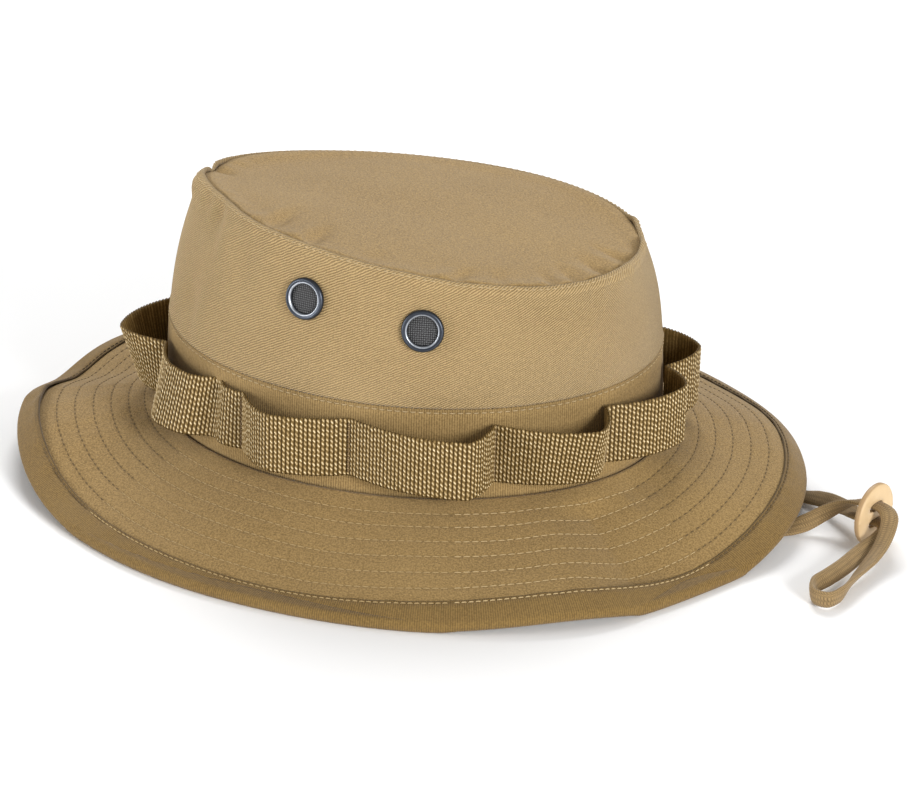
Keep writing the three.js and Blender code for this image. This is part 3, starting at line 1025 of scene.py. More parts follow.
        # Painted highlight where the mesh value is high, broken by the smear noise.
        highlight_share = n.math("MULTIPLY", n.value("lip_highlight"), n.math("ADD", smear, 0.4))
        look = {
            "Base Color": n.mix(highlight_share, (0.032, 0.039, 0.053, 1.0), (0.6, 0.63, 0.68, 1.0)),
            "Roughness": n.math("MULTIPLY_ADD", smear, 0.25, 0.25),
            "Metallic": 0.85,
        }
        n.feed(shader, look)
        return material

    @staticmethod
    def screen() -> bpy.types.Material:
        """Woven wire: grey on the wires, and near black between them as painted shade of the dark inside that
        the holes would show, from a value on the mesh.

        Returns:
            The material.
        """
        material, n, shader = new_material("vent wire")
        shade = n.mix(n.value("wire"), (0.002, 0.002, 0.002, 1.0), (0.13, 0.13, 0.132, 1.0))
        n.feed(shader, {"Base Color": shade, "Metallic": 0.2, "Roughness": 0.5})
        return material


FINISH = Finishes()


def settle(item: bpy.types.Object, material: bpy.types.Material, slot: Slot, *nodes: str) -> bpy.types.Object:
    """Gives a piece its material, lets it ride on the hat, and hides the solids that it replaces.

    Args:
        item: The piece.
        material: Its finish.
        slot: Material slot of the record that the finish belongs to; not used.
        nodes: Solids that the piece replaces.

    Returns:
        The piece.
    """
    item.data.materials.append(material)
    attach(item, BODY)
    if nodes:
        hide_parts(*nodes)
    LOG.info("%s: %d faces", item.name, len(item.data.polygons))
    return item


@dataclass
class Crown:
    """Tip, side and band of the crown, with their top stitching."""

    cloth: bpy.types.Material
    plain: bpy.types.Material
    rib: bpy.types.Material
    thread: bpy.types.Material
    stations: int = 480
    side_rows: int = 60
    side_close_rows: int = 16
    band_rows: int = 22
    band_close_rows: int = 10
    tip_cells: int = 140
    tip_overlap: float = 1.008
    topstitch: float = 2.0
    footstitch: float = 1.5
    vents: tuple[tuple[float, float], ...] = ((-99.9, 0.748), (-71.3, 0.699), (71.3, 0.72), (99.9, 0.74))
    vent_hole: float = 7.0
    hole_sides: int = 48
    hole_reach: float = 7.0
    dent_gain: float = 1.15
    # Dents of the side: degrees, share of the way up, depth, spread in radians, spread in shares
    dents: tuple[tuple[float, ...], ...] = (
        (183.5, 0.97, 2.2, 0.05, 0.08),
        (203.0, 0.93, -2.3, 0.14, 0.09),
        (352.0, 0.93, -1.0, 0.2, 0.1),
        (12.0, 0.99, -1.5, 0.05, 0.035),
        (21.0, 0.99, 1.2, 0.04, 0.035),
        (31.0, 0.99, -1.4, 0.06, 0.035),
        (222.0, 0.86, 1.3, 0.07, 0.10),
        (230.0, 0.78, -0.9, 0.06, 0.14),
        (240.0, 0.70, 0.9, 0.07, 0.20),
        (219.0, 0.28, 1.6, 0.10, 0.16),
        (228.0, 0.22, -0.9, 0.09, 0.16),
        (296.0, 0.92, 0.7, 0.05, 0.07),
        (319.0, 0.88, 1.0, 0.07, 0.10),
        (330.0, 0.60, -0.8, 0.16, 0.22),
        (350.0, 0.55, 1.2, 0.16, 0.25),
        (60.0, 0.55, 1.1, 0.18, 0.22),
        (135.0, 0.65, 1.0, 0.16, 0.2),
    )
    # Folds that run in from the tip's rim: degrees, depth, half width, reach
    rim_folds: tuple[tuple[float, ...], ...] = (
        (308.0, 0.9, 3.6, 20.0),
        (324.0, 1.2, 3.2, 22.0),
        (333.0, 1.45, 3.0, 22.0),
        (339.0, -1.1, 3.0, 20.0),
        (346.0, 1.5, 3.0, 21.0),
        (353.0, -1.1, 3.0, 20.0),
        (0.0, 1.3, 3.0, 20.0),
        (183.0, 1.5, 3.5, 12.0),
    )
    # Folds that run straight back from the tip's front: place along x, depth, half width, reach
    front_folds: tuple[tuple[float, ...], ...] = (
        (-38.0, 1.4, 3.0, 35.0),
        (-44.0, -1.0, 3.8, 32.0),
        (-19.5, 1.5, 3.0, 32.0),
        (-26.0, -1.1, 3.8, 29.0),
        (6.0, 0.8, 4.0, 20.0),
        (38.5, 1.3, 2.8, 19.0),
        (33.0, -0.85, 3.4, 17.0),
    )
    # Hollows of the tip: x and y on the unit disc, depth, spread
    hollows: tuple[tuple[float, ...], ...] = ((-0.1, -0.1, 1.2, 0.33), (0.45, -0.15, 0.9, 0.25))

    def side_grid(self) -> tuple[Array, Array, Array]:
        """Grid of the outer face of the side, with its folds and puckers.

        Returns:
            Angles, shares of the way up, and points.
        """
        share = graded(0.9, 0.91, self.side_rows, self.side_close_rows)
        angles, shares = np.meshgrid(turns(self.stations), share, indexing="ij")
        points = FORM.side_surface(angles, shares)
        normals = grid_normals(points, True, False)
        return angles, shares, points + self.side_relief(angles, shares)[..., None] * normals

    def side_relief(self, angle: Array, share: Array) -> Array:
        """Height of the cloth over the plain side: seam welts, puckers along them, and soft dents.

        Formula: a welt and a groove along each seam as bells of the distance from it, puckers as uneven
        waves that die away from the seam, and a few broad bells for the dents that the hat shows. Close
        to a vent the cloth is left plain.

        Args:
            angle: Angles round the hat.
            share: Shares of the way up.

        Returns:
            Height along the outward normal in millimetres.
        """
        from_top = (1.0 - share) * FORM.side_tall
        from_foot = share * FORM.side_tall
        front = smooth(0.5, -0.3, np.sin(angle))
        welt = 0.3 * front * bell(from_top - 0.7, 0.9) - 0.2 * bell(from_top - self.topstitch, 0.7)
        foot = 0.35 * bell(from_foot - 0.6, 1.2)
        pucker = ripple(angle, 3, 30, 54) * bell(from_top - 5.0, 5.0) * 0.2 * front
        pucker = pucker + ripple(angle, 5, 26, 44) * bell(from_foot, 6.0) * 0.18
        soft = ripple(angle, 8, 4, 9) * np.sin(math.pi * share) * 0.45
        for degrees, place, depth, spread, height in self.dents:
            dent = bell(from_degrees(angle, degrees), spread) * bell(share - place, height)
            soft = soft - self.dent_gain * depth * dent
        for degrees, place in self.vents:
            near = bell(from_degrees(angle, degrees), 0.13) * bell(share - place * 0.83, 0.2)
            soft = soft * (1.0 - near)
        return (welt + foot + pucker + soft) * smooth(0.0, 0.02, share)

    def vent_place(self, degrees: float, share: float) -> tuple[Array, Array, Array, Array]:
        """Place of a vent on the side.

        Args:
            degrees: Angle round the hat.
            share: Share of the way up to the roll.

        Returns:
            Middle, level direction, direction across it, and outward direction.
        """
        angle = np.array([math.radians(degrees)])
        out = FORM.out(angle)[0]
        foot = FORM.base_seam(angle)[0] + 0.5 * FORM.gap * UP
        shoulder = FORM.tip_seam(angle)[0] + FORM.shoulder_out * out - FORM.shoulder_drop * UP
        head_share = 0.94
        head = foot + (shoulder - foot) * head_share + FORM.swell * math.sin(math.pi * head_share) * out
        middle = foot + (head - foot) * share + FORM.swell * math.sin(math.pi * share) * out
        level = np.array([-out[1], out[0], 0.0])
        rise = head - foot + FORM.swell * math.pi * math.cos(math.pi * share) * out
        axis = unit(np.cross(level, rise))
        return middle, level, np.cross(level, axis), axis

    def build_side(self) -> None:
        """Side wall, cut through at the vents."""
        angles, shares, outer = self.side_grid()
        inner = outer - FORM.cloth * grid_normals(FORM.side_surface(angles, shares), True, False)
        uv = np.stack([angles / TURN * ROUND, shares * FORM.side_tall], -1)
        # Painted shade: a thin dark line along the tip seam.
        groove = 0.3 * bell((1.0 - shares) * FORM.side_tall, 0.5)
        side = ring_shell(outer, inner, uv, {"groove": groove}).to_object("crown_side_cloth")
        self.cut_vents(side)
        settle(side, self.cloth, Slot.TWILL, "crown_side")

    def cut_vents(self, side: bpy.types.Object) -> None:
        """Cuts the four vent holes with one boolean.

        Args:
            side: The side wall, whose mesh is changed.
        """
        turn = turns(self.hole_sides)
        rim = np.arange(self.hole_sides)
        faces = [quads(2, self.hole_sides, False, True), np.stack([rim, self.hole_sides + rim[::-1]])]
        plugs = []
        for degrees, share in self.vents:
            middle, level, third, axis = self.vent_place(degrees, share)
            ring = middle + self.vent_hole * spokes(turn, level, third)
            ends = np.concatenate([ring - self.hole_reach * axis, ring + self.hole_reach * axis])
            plugs.append(Body(ends, list(faces)).outward())
        tool = Body.joined(plugs).to_object("vent_cutters")
        cut = side.modifiers.new("vent holes", "BOOLEAN")
        cut.operation = "DIFFERENCE"
        cut.solver = "EXACT"
        cut.object = tool
        seen = side.evaluated_get(bpy.context.evaluated_depsgraph_get())
        mesh = bpy.data.meshes.new_from_object(seen)
        side.modifiers.clear()
        side.data = mesh
        bpy.data.objects.remove(tool)

    def tip_relief(self, disc_x: Array, disc_y: Array, angle: Array, share: Array) -> tuple[Array, Array]:
        """Height of the tip over its plain surface.

        Formula: puckers and a raised lip along the rim as bells of the distance from it, folds as bells
        across their line that fade along it, and hollows as bells both ways.

        Args:
            disc_x: Place along x on the unit disc.
            disc_y: Place along y on the unit disc.
            angle: Angles round the tip.
            share: Shares of the way out.

        Returns:
            Height in millimetres, and how far each place lies in the front seam's groove.
        """
        rim = (1.0 - share) * FORM.tip_reach
        back = smooth(-0.1, 0.5, np.sin(angle))
        groove = bell(rim, 0.8) * (1.0 - back)
        right_end = bell(from_degrees(angle, 8.0), 0.5)
        left_end = bell(from_degrees(angle, 184.0), 0.16)
        flush = (1.0 - 0.75 * right_end) * (1.0 - 0.9 * left_end)
        relief = ripple(angle, 11, 30, 50) * bell(rim - 3.0, 5.0) * 0.16 * (1.0 - back) - 0.7 * groove
        relief = relief + (FORM.lip(angle) + 0.1 + 0.1 * back) * flush * bell(rim - 1.0, 6.0)
        relief = relief + ripple(angle, 12, 3, 7) * bell(rim - 16.0, 16.0) * 0.5
        for degrees, depth, wide, reach in self.rim_folds:
            across = from_degrees(angle, degrees) * FORM.tip_reach * share - 0.4 * rim
            fade = smooth(reach, 0.25 * reach, rim) * smooth(-0.5, 1.0, rim)
            relief = relief - depth * bell(across, wide) * fade
        from_front = (disc_y + np.sqrt(np.maximum(1.0 - disc_x**2, 0.0))) * FORM.tip[1]
        for place, depth, wide, reach in self.front_folds:
            fade = smooth(reach, 0.4 * reach, from_front) * smooth(0.0, 5.0, from_front)
            relief = relief - depth * bell(disc_x * FORM.tip[0] - place, wide) * fade
        for x, y, depth, wide in self.hollows:
            relief = relief - depth * bell(disc_x - x, wide) * bell(disc_y - y, wide)
        return relief, groove

    def build_tip(self) -> None:
        """Tip: a square grid pressed into the oval, with its dents and edge puckers."""
        disc_x, disc_y = square_disc(self.tip_cells)
        share = np.minimum(np.hypot(disc_x, disc_y), 1.0) * self.tip_overlap
        angle = np.arctan2(disc_y, disc_x)
        relief, groove = self.tip_relief(disc_x, disc_y, angle, share)
        top = FORM.tip_surface(angle, share) + relief[..., None] * UP
        # Painted shade in the groove of the front seam.
        values = {"groove": np.tile(0.45 * groove.ravel(), 2)}
        body = plate(top, top - FORM.cloth * UP, values, level_uv=True)
        settle(body.to_object("crown_tip_cloth"), self.plain, Slot.TWILL, "crown_tip")

    def build_band(self) -> None:
        """Ribbed band from under the brim's edge up to the lower crown seam, with a welt at its top."""
        angle = turns(self.stations)
        share = graded(0.88, 0.895, self.band_rows, self.band_close_rows)
        angles, shares = np.meshgrid(angle, share, indexing="ij")
        foot = FORM.root(angle) - FORM.brim_thick * UP
        head = FORM.base_seam(angle) - 0.1 * FORM.gap * UP
        outer = foot[:, None] + (head - foot)[:, None] * share[:, None]
        down = (1.0 - shares) * FORM.band_height
        stitch_line = down - self.footstitch
        relief = 0.15 * bell(down - 0.5, 0.6) - 0.22 * bell(stitch_line, 0.7) - 0.25 * bell(down, 0.3)
        relief = relief + ripple(angles, 21, 20, 36) * bell(down - 3.0, 6.0) * 0.16
        out = FORM.out(angles)
        outer = outer + relief[..., None] * out
        uv = np.stack([angles / TURN * ROUND, shares * FORM.band_height], -1)
        # Painted shade: a dark line in the crevice under the lower crown seam, and a fainter one along the
        # stitch groove.
        values = {"groove": 0.4 * bell(down, 0.4) + 0.2 * bell(stitch_line, 0.4)}
        body = ring_shell(outer, outer - FORM.cloth * out, uv, values)
        settle(body.to_object("crown_band_cloth"), self.rib, Slot.RIB, "crown_band")

    def build_stitching(self) -> None:
        """Top stitch under the tip seam, and the stitch under the lower crown seam."""
        angles, _, outer = self.side_grid()
        normals = grid_normals(outer, True, False)
        lengths = np.linalg.norm(np.diff(outer, axis=1), axis=2)
        from_top = np.cumsum(lengths[:, ::-1], 1)[:, ::-1].mean(0)
        column = np.abs(np.append(from_top, 0.0) - self.topstitch).argmin()
        stitch = Stitch(pitch=3.0, length=2.2, radius=0.26)
        top = stitch.row(outer[:, column], normals[:, column])
        angle = angles[:, 0]
        foot = stitch.row(FORM.base_seam(angle) - self.footstitch * UP, FORM.out(angle))
        settle(Body.joined([top, foot]).to_object("crown_stitching"), self.thread, Slot.TWILL)

    def build(self) -> None:
        """Builds and dresses every piece of the crown."""
        self.build_tip()
        self.build_side()
        self.build_band()
        self.build_stitching()


@dataclass
class Brim:
    """Brim with its quilting rows, and the binding folded over its edge."""

    cloth: bpy.types.Material
    rib: bpy.types.Material
    thread: bpy.types.Material
    half_shaded_thread: bpy.types.Material
    shadowed_thread: bpy.types.Material
    # Degrees where the half-shaded, the lit and the shadowed copy of the thread begin; the copies paint light
    # and shade round the brim.
    arcs: tuple[float, float, float] = (228.0, 296.0, 342.0)
    stations: int = 480
    rows: tuple[float, ...] = (8.2, 14.6, 21.7, 28.9, 36.4, 43.8)
    step: float = 0.5
    inside: float = 58.2
    gap: float = 0.4
    leaf: float = 1.1
    binding_stitch: float = 51.3
    puff: float = 6.8
    # Place in degrees, spread in radians and size: the crease, the hollow beside it, and the raised lip
    crease: tuple[float, float, float] = (326.8, 0.19, 4.2)
    hollow: tuple[float, float, float] = (344.0, 0.14, 2.2)
    raised: tuple[float, float, float] = (197.0, 0.2, 1.9)

    def sheet_at(self, along: Array) -> tuple[Array, Array]:
        """Middle of the cloth at any distances, read between even steps.

        Args:
            along: Distances from the root along the cloth.

        Returns:
            Points and normals.
        """
        grid = np.arange(0.0, FORM.edge + self.step / 2.0, self.step)
        points, normals = FORM.brim_surface(turns(self.stations), grid)
        index = along / self.step
        low = np.clip(np.floor(index).astype(int), 0, grid.size - 2)
        part = (index - low)[None, :, None]
        place = points[:, low] * (1.0 - part) + points[:, low + 1] * part
        face = unit(normals[:, low] * (1.0 - part) + normals[:, low + 1] * part)
        return place, face

    def groove(self, along: Array) -> Array:
        """How deep in a stitch channel a place of the brim lies, from 0 to 1; it sets the painted shade of
        the channels.
        """
        return sum(bell(along - row, 0.35) for row in self.rows)

    def relief(self, angle: Array, along: Array) -> Array:
        """Height of the quilted face: shallow channels under the stitch rows and soft puffs between.

        Formula: a bell across each row, a sine between rows, a pointed valley for the crease and a bell
        for the hollow beside it, all fading at the root and under the binding.

        Args:
            angle: Angles round the hat.
            along: Distances from the root along the cloth.

        Returns:
            Height along the normal in millimetres.
        """
        height = 0.1 * ripple(angle, 31, 30, 60) * np.sin(along / self.puff * math.pi) ** 2
        for row in self.rows:
            height = height - 0.16 * bell(along - row, 0.7)
        place, spread, deep = self.crease
        aside = from_degrees(angle - 0.0006 * (along - 30.0), place)
        valley = np.maximum(1.0 - np.sqrt(aside**2 + 0.00002) / spread, 0.0)
        height = height - deep * valley * smooth(4.0, 14.0, along)
        place, spread, deep = self.hollow
        height = height - deep * bell(from_degrees(angle, place), spread) * bell(along - 9.0, 8.0)
        sway = np.sin(np.clip(along / FORM.brim_width, 0.0, 1.0) * math.pi)
        height = height + 0.5 * ripple(angle, 33, 6, 12) * sway
        return height * smooth(0.0, 3.0, along) * smooth(52.0, 47.0, along)

    def build_brim(self) -> None:
        """Brim cloth, a closed wall of two faces."""
        close = np.array([-1.9, -0.9, -0.4, 0.0, 0.4, 0.9, 1.9])
        rows = (np.array(self.rows)[:, None] + close).ravel()
        plain = [0.5, 1.5, FORM.brim_width, 54.2, self.inside]
        along = np.unique(np.round(np.concatenate([rows, plain]), 2))
        angles, alongs = np.meshgrid(turns(self.stations), along, indexing="ij")
        middle, face = self.sheet_at(along)
        lift = self.relief(angles, alongs)[..., None] * face
        top = middle + FORM.brim_thick / 2.0 * face + lift
        under = middle - FORM.brim_thick / 2.0 * face + 0.6 * lift
        uv = np.stack([angles / TURN * BRIM_ROUND, alongs], -1)
        # Painted shade along the stitch channels.
        body = ring_shell(top, under, uv, {"groove": 0.25 * self.groove(alongs)})
        settle(body.to_object("brim_cloth"), self.cloth, Slot.BRIM, "brim")

    def build_binding(self) -> None:
        """Binding: a closed section of two leaves and a fold, carried round the edge.

        Formula: each section point is a distance along the cloth and an offset along its normal.
        """
        inside = FORM.brim_thick / 2.0 + self.gap
        outside = inside + self.leaf
        fold = np.linspace(math.pi / 2.0, -math.pi / 2.0, 13)[1:-1]
        flat = np.linspace(FORM.brim_width, FORM.edge - outside, 16)
        lip = np.linspace(math.pi, math.pi / 2.0, 4)[:-1]
        half = 0.5 * self.leaf
        section = (
            (FORM.brim_width + half + half * np.cos(lip), inside + half + half * np.sin(lip)),
            (flat[1:], outside),
            (FORM.edge - outside + outside * np.cos(fold), outside * np.sin(fold)),
            (flat[::-1], -outside),
            (flat[:-1], -inside),
            (np.array([self.inside + 1.0]), 0.0),
            (flat[:-1][::-1], inside),
        )
        along = np.concatenate([part for part, _ in section])
        offset = np.concatenate([np.broadcast_to(off, part.shape) for part, off in section])
        angle = turns(self.stations)
        place, face = self.sheet_at(along)
        angles, alongs = np.meshgrid(angle, along, indexing="ij")
        upper = offset[None, :] > 0.6 * outside
        stitch_line = alongs - self.binding_stitch
        groove = -0.2 * bell(stitch_line, 0.6) * upper
        pucker = 0.16 * ripple(angles, 41, 46, 80) * bell(alongs - 52.0, 5.0) * upper
        degrees, spread, rise = self.raised
        lifted = rise * bell(from_degrees(angle, degrees), spread)[:, None] - 0.55
        both = np.where(lifted > 0.0, offset[None, :] > 0.5, upper)
        pressed = lifted * bell(alongs - 50.4, 2.2) * both
        loop = place + (offset[None, :] + groove + pucker + pressed)[..., None] * face
        loop[..., 2] = np.maximum(loop[..., 2], 0.0)
        uv = np.stack([angles / TURN * EDGE_ROUND, alongs], -1)
        # Painted shade: a dark line in the crevice at the binding's inner lip, and a fainter one along its
        # stitch line.
        dark = 0.75 * bell(alongs - FORM.brim_width, 0.5) + 0.3 * bell(stitch_line, 0.4)
        body = closed_loop(loop, {"groove": dark}, uv, EDGE_ROUND)
        settle(body.to_object("brim_binding_cloth"), self.rib, Slot.RIB, "brim_binding")

    def stitch_row(self, along: float, lift: Array, stitch: Stitch, arc: tuple[float, float]) -> Body:
        """Stitches at one distance along the cloth.

        Args:
            along: Distance from the root.
            lift: Height of the stitches over the middle of the cloth, round the hat.
            stitch: Size of the stitches.
            arc: First and last angle in degrees.

        Returns:
            One body with all stitches.
        """
        points, normals = self.sheet_at(np.array([along]))
        turned = (turns(self.stations) - math.radians(arc[0])) % TURN
        order = np.argsort(turned)
        order = order[turned[order] < math.radians(arc[1] - arc[0])]
        line = points[order, 0] + lift[order, None] * normals[order, 0]
        return stitch.row(line, normals[order, 0], closed=False)

    def build_stitching(self) -> None:
        """Quilting rows and the row along the binding's lip, in three copies of one thread that paint light
        and shade: a lit pale copy at the front from 296 to 342 degrees, a half-shaded copy from 228 to 296
        degrees, and a dark copy with painted shadow round the rest.
        """
        angle = turns(self.stations)
        plain = Stitch(pitch=3.3, length=2.95, radius=0.2)
        short = Stitch(pitch=3.2, length=2.0, radius=0.21)
        hem = Stitch(pitch=2.6, length=2.1, radius=0.28)
        faint, bright, end = self.arcs
        hem_lift = np.full(self.stations, FORM.binding_half - 0.45)
        for name, thread, stitch, start, stop in (
            ("brim_stitching", self.thread, plain, bright, end),
            ("brim_stitching_half_shaded", self.half_shaded_thread, plain, faint, bright),
            ("brim_stitching_shadowed", self.shadowed_thread, short, end, faint + 360.0),
        ):
            rows = [self.stitch_row(self.binding_stitch, hem_lift, hem, (start, stop))]
            for row in self.rows:
                lift = FORM.brim_thick / 2.0 + self.relief(angle, np.full_like(angle, row))
                rows.append(self.stitch_row(row, lift, stitch, (start, stop)))
            settle(Body.joined(rows).to_object(name), thread, Slot.BRIM)

    def build(self) -> None:
        """Builds and dresses every piece of the brim."""
        self.build_brim()
        self.build_binding()
        self.build_stitching()


@dataclass(frozen=True)
class Loop:
    """One branch loop: its first tack, how far and where it stands off most, and how far an edge hangs in.

    A tilt above zero is that of the lower edge, and one below zero is that of the upper edge. The hollow
    is how far the strap sinks in again before its next tack.
    """

    angle: float
    bulge: float
    peak: float
    tilt: float = 0.0
    hollow: float = 0.0


@dataclass
class BranchStrap:
    """Webbing strap on edge round the band, held at each tack and standing off between tacks."""

    webbing: bpy.types.Material
    thread: bpy.types.Material
    width: float = 24.0
    thick: float = 1.5
    lift: float = 6.5
    pressed: float = 0.15
    bead: float = 2.0
    columns: int = 440
    samples: int = 3
    fine: int = 24000
    rows: int = 47
    loops: tuple[Loop, ...] = (
        Loop(6, 13, 0.5),
        Loop(33, 10.5, 0.45),
        Loop(62, 12, 0.55),
        Loop(91, 13, 0.4),
        Loop(120, 12, 0.5),
        Loop(149, 16.5, 0.66, -6),
        Loop(178, 17, 0.66, 8),
        Loop(210, 12.5, 0.36, -7, 5.8),
        Loop(246.5, 10.5, 0.4),
        Loop(273.3, 16, 0.8),
        Loop(305, 18, 0.7, 7),
        Loop(334, 12.5, 0.7),
    )

    def stand_off(self, angle: Array) -> tuple[Array, Array]:
        """Distance of the strap from the band.

        Formula: from one tack to the next it is part straight and part sine, up to a peak and down again,
        less a bell for the hollow.

        Args:
            angle: Angles round the hat.

        Returns:
            Distance of the strap's middle, and its tilt.
        """
        starts = np.radians([loop.angle for loop in self.loops])
        ends = np.append(starts[1:], starts[0] + TURN)
        turned = (angle - starts[0]) % TURN + starts[0]
        index = np.searchsorted(starts, turned, side="right") - 1
        share = (turned - starts[index]) / (ends - starts)[index]
        shapes = np.array([(loop.bulge, loop.peak, loop.tilt, loop.hollow) for loop in self.loops])
        bulge, peak, tilt, hollow = shapes[index].T
        rise = np.where(share < peak, share / peak, (1.0 - share) / (1.0 - peak))
        swing = 0.35 * rise + 0.65 * np.sin(math.pi / 2.0 * rise)
        sunk = hollow * bell(share - 0.73, 0.1)
        return self.thick / 2.0 - self.pressed + bulge * swing - sunk, tilt * swing

    def path(self) -> tuple[Array, Array, Array, Array, Array]:
        """The strap's foot at even steps.

        Returns:
            Points, outward directions, places counted in columns, tilts, and ways in to the band.
        """
        angle = turns(self.fine)
        off, tilt = self.stand_off(angle)
        line = FORM.root(angle) + off[:, None] * FORM.out(angle) + self.lift * UP
        closed = np.concatenate([line, line[:1]])
        length = run_lengths(closed)
        column = np.arange(self.columns * self.samples) / self.samples
        places = column / self.columns * length[-1]
        points = read_line(places, length, closed)
        points = (np.roll(points, 1, 0) + 2.0 * points + np.roll(points, -1, 0)) / 4.0
        run = unit((np.roll(points, -2, 0) - np.roll(points, 2, 0)) * (1.0 - UP))
        side = np.stack([run[:, 1], -run[:, 0], 0.0 * places], -1)
        inward = -FORM.out(np.interp(places, length[:-1], angle))
        return points, side, column, np.interp(places, length[:-1], tilt), inward

    def beads(self, column: Array, up: Array) -> Array:
        """Height of the yarn beads from 0 to 1.

        Formula: each column is a raised cosine that falls to a gap at both sides, and a cosine along the
        slanted line divides it into strokes. Waves along the strap move the strokes of one column off the
        next, and a scattered sine of the stroke's numbers makes their heights uneven.

        Args:
            column: Place along the strap, counted in columns.
            up: Distance across the strap.

        Returns:
            Height of the bead.
        """
        whole = np.floor(column)
        offset = 0.5 * (whole % 2.0) * (0.5 + 0.5 * np.sin(whole * 0.11)) + 0.22 * np.sin(whole * 1.7)
        rows = up / self.bead + offset + 0.9 * (column - whole)
        uneven = 0.5 + 0.5 * np.sin(whole * 12.9 + np.floor(rows) * 78.2)
        ridge = 0.5 - 0.5 * np.cos(TURN * column)
        stroke = 0.5 + 0.5 * np.cos(TURN * rows)
        return ridge**0.75 * (0.42 + (0.43 + 0.25 * uneven) * stroke)

    def build_strap(self) -> None:
        """Strap: a closed section of a beaded outer face, two rounded edges and a beaded inner face."""
        points, side, column, tilt, inward = self.path()
        edge = np.array([0.0, 0.25])
        flat = np.linspace(0.7, self.width - 0.7, self.rows)
        up = np.concatenate([edge, flat, self.width - edge[::-1]])
        inner_up = np.linspace(self.width - 0.5, 0.5, 12)
        half = self.thick / 2.0
        columns, ups = np.meshgrid(column, np.concatenate([up, inner_up]), indexing="ij")
        outer = np.arange(ups.shape[1]) < up.size
        rim = np.minimum(ups, self.width - ups)
        bead = self.beads(columns, ups)
        # Painted light and shade: the bead height lights the bead tops and darkens the gaps and the rounded
        # edges of the outer face, and the inner face gets a dimmer copy.
        grain = np.where(outer, bead * smooth(-0.6, 0.7, rim), 0.25 + 0.3 * bead)
        face = (half - 0.5) * smooth(-0.5, 0.7, rim) + 0.5 * bead * smooth(0.0, 0.7, rim)
        off = np.where(outer, face, -half + 0.15 * bead)
        edge_step = -0.25 * np.cos(TURN * columns) * (bell(ups, 0.5) + bell(self.width - ups, 0.5))
        loop = points[:, None] + off[..., None] * side[:, None] + (ups + edge_step)[..., None] * UP
        drawn = tilt[:, None]
        lean = np.where(drawn > 0.0, drawn * (1.0 - ups / self.width), -drawn * ups / self.width)
        loop = loop + lean[..., None] * inward[:, None]
        body = closed_loop(loop, {"grain": grain})
        settle(body.to_object("branch_loop_webbing"), self.webbing, Slot.WEBBING, "branch_loop_strap")

    def build_tacks(self) -> None:
        """Upright bar of stitches at each tack."""
        rows = []
        stitch = Stitch(pitch=1.7, length=1.5, radius=0.3)
        heights = np.linspace(1.5, self.width - 1.5, 20)
        for loop in self.loops:
            angle = np.array([math.radians(loop.angle)])
            out = FORM.out(angle)
            foot = FORM.root(angle) + (FORM.gap + self.thick) * out + self.lift * UP
            line = foot + heights[:, None] * UP
            rows.append(stitch.row(line, np.repeat(out, heights.size, 0), closed=False))
        settle(Body.joined(rows).to_object("branch_loop_tacks"), self.thread, Slot.WEBBING)

    def build(self) -> None:
        """Builds and dresses the strap and its tacks."""
        self.build_strap()
        self.build_tacks()


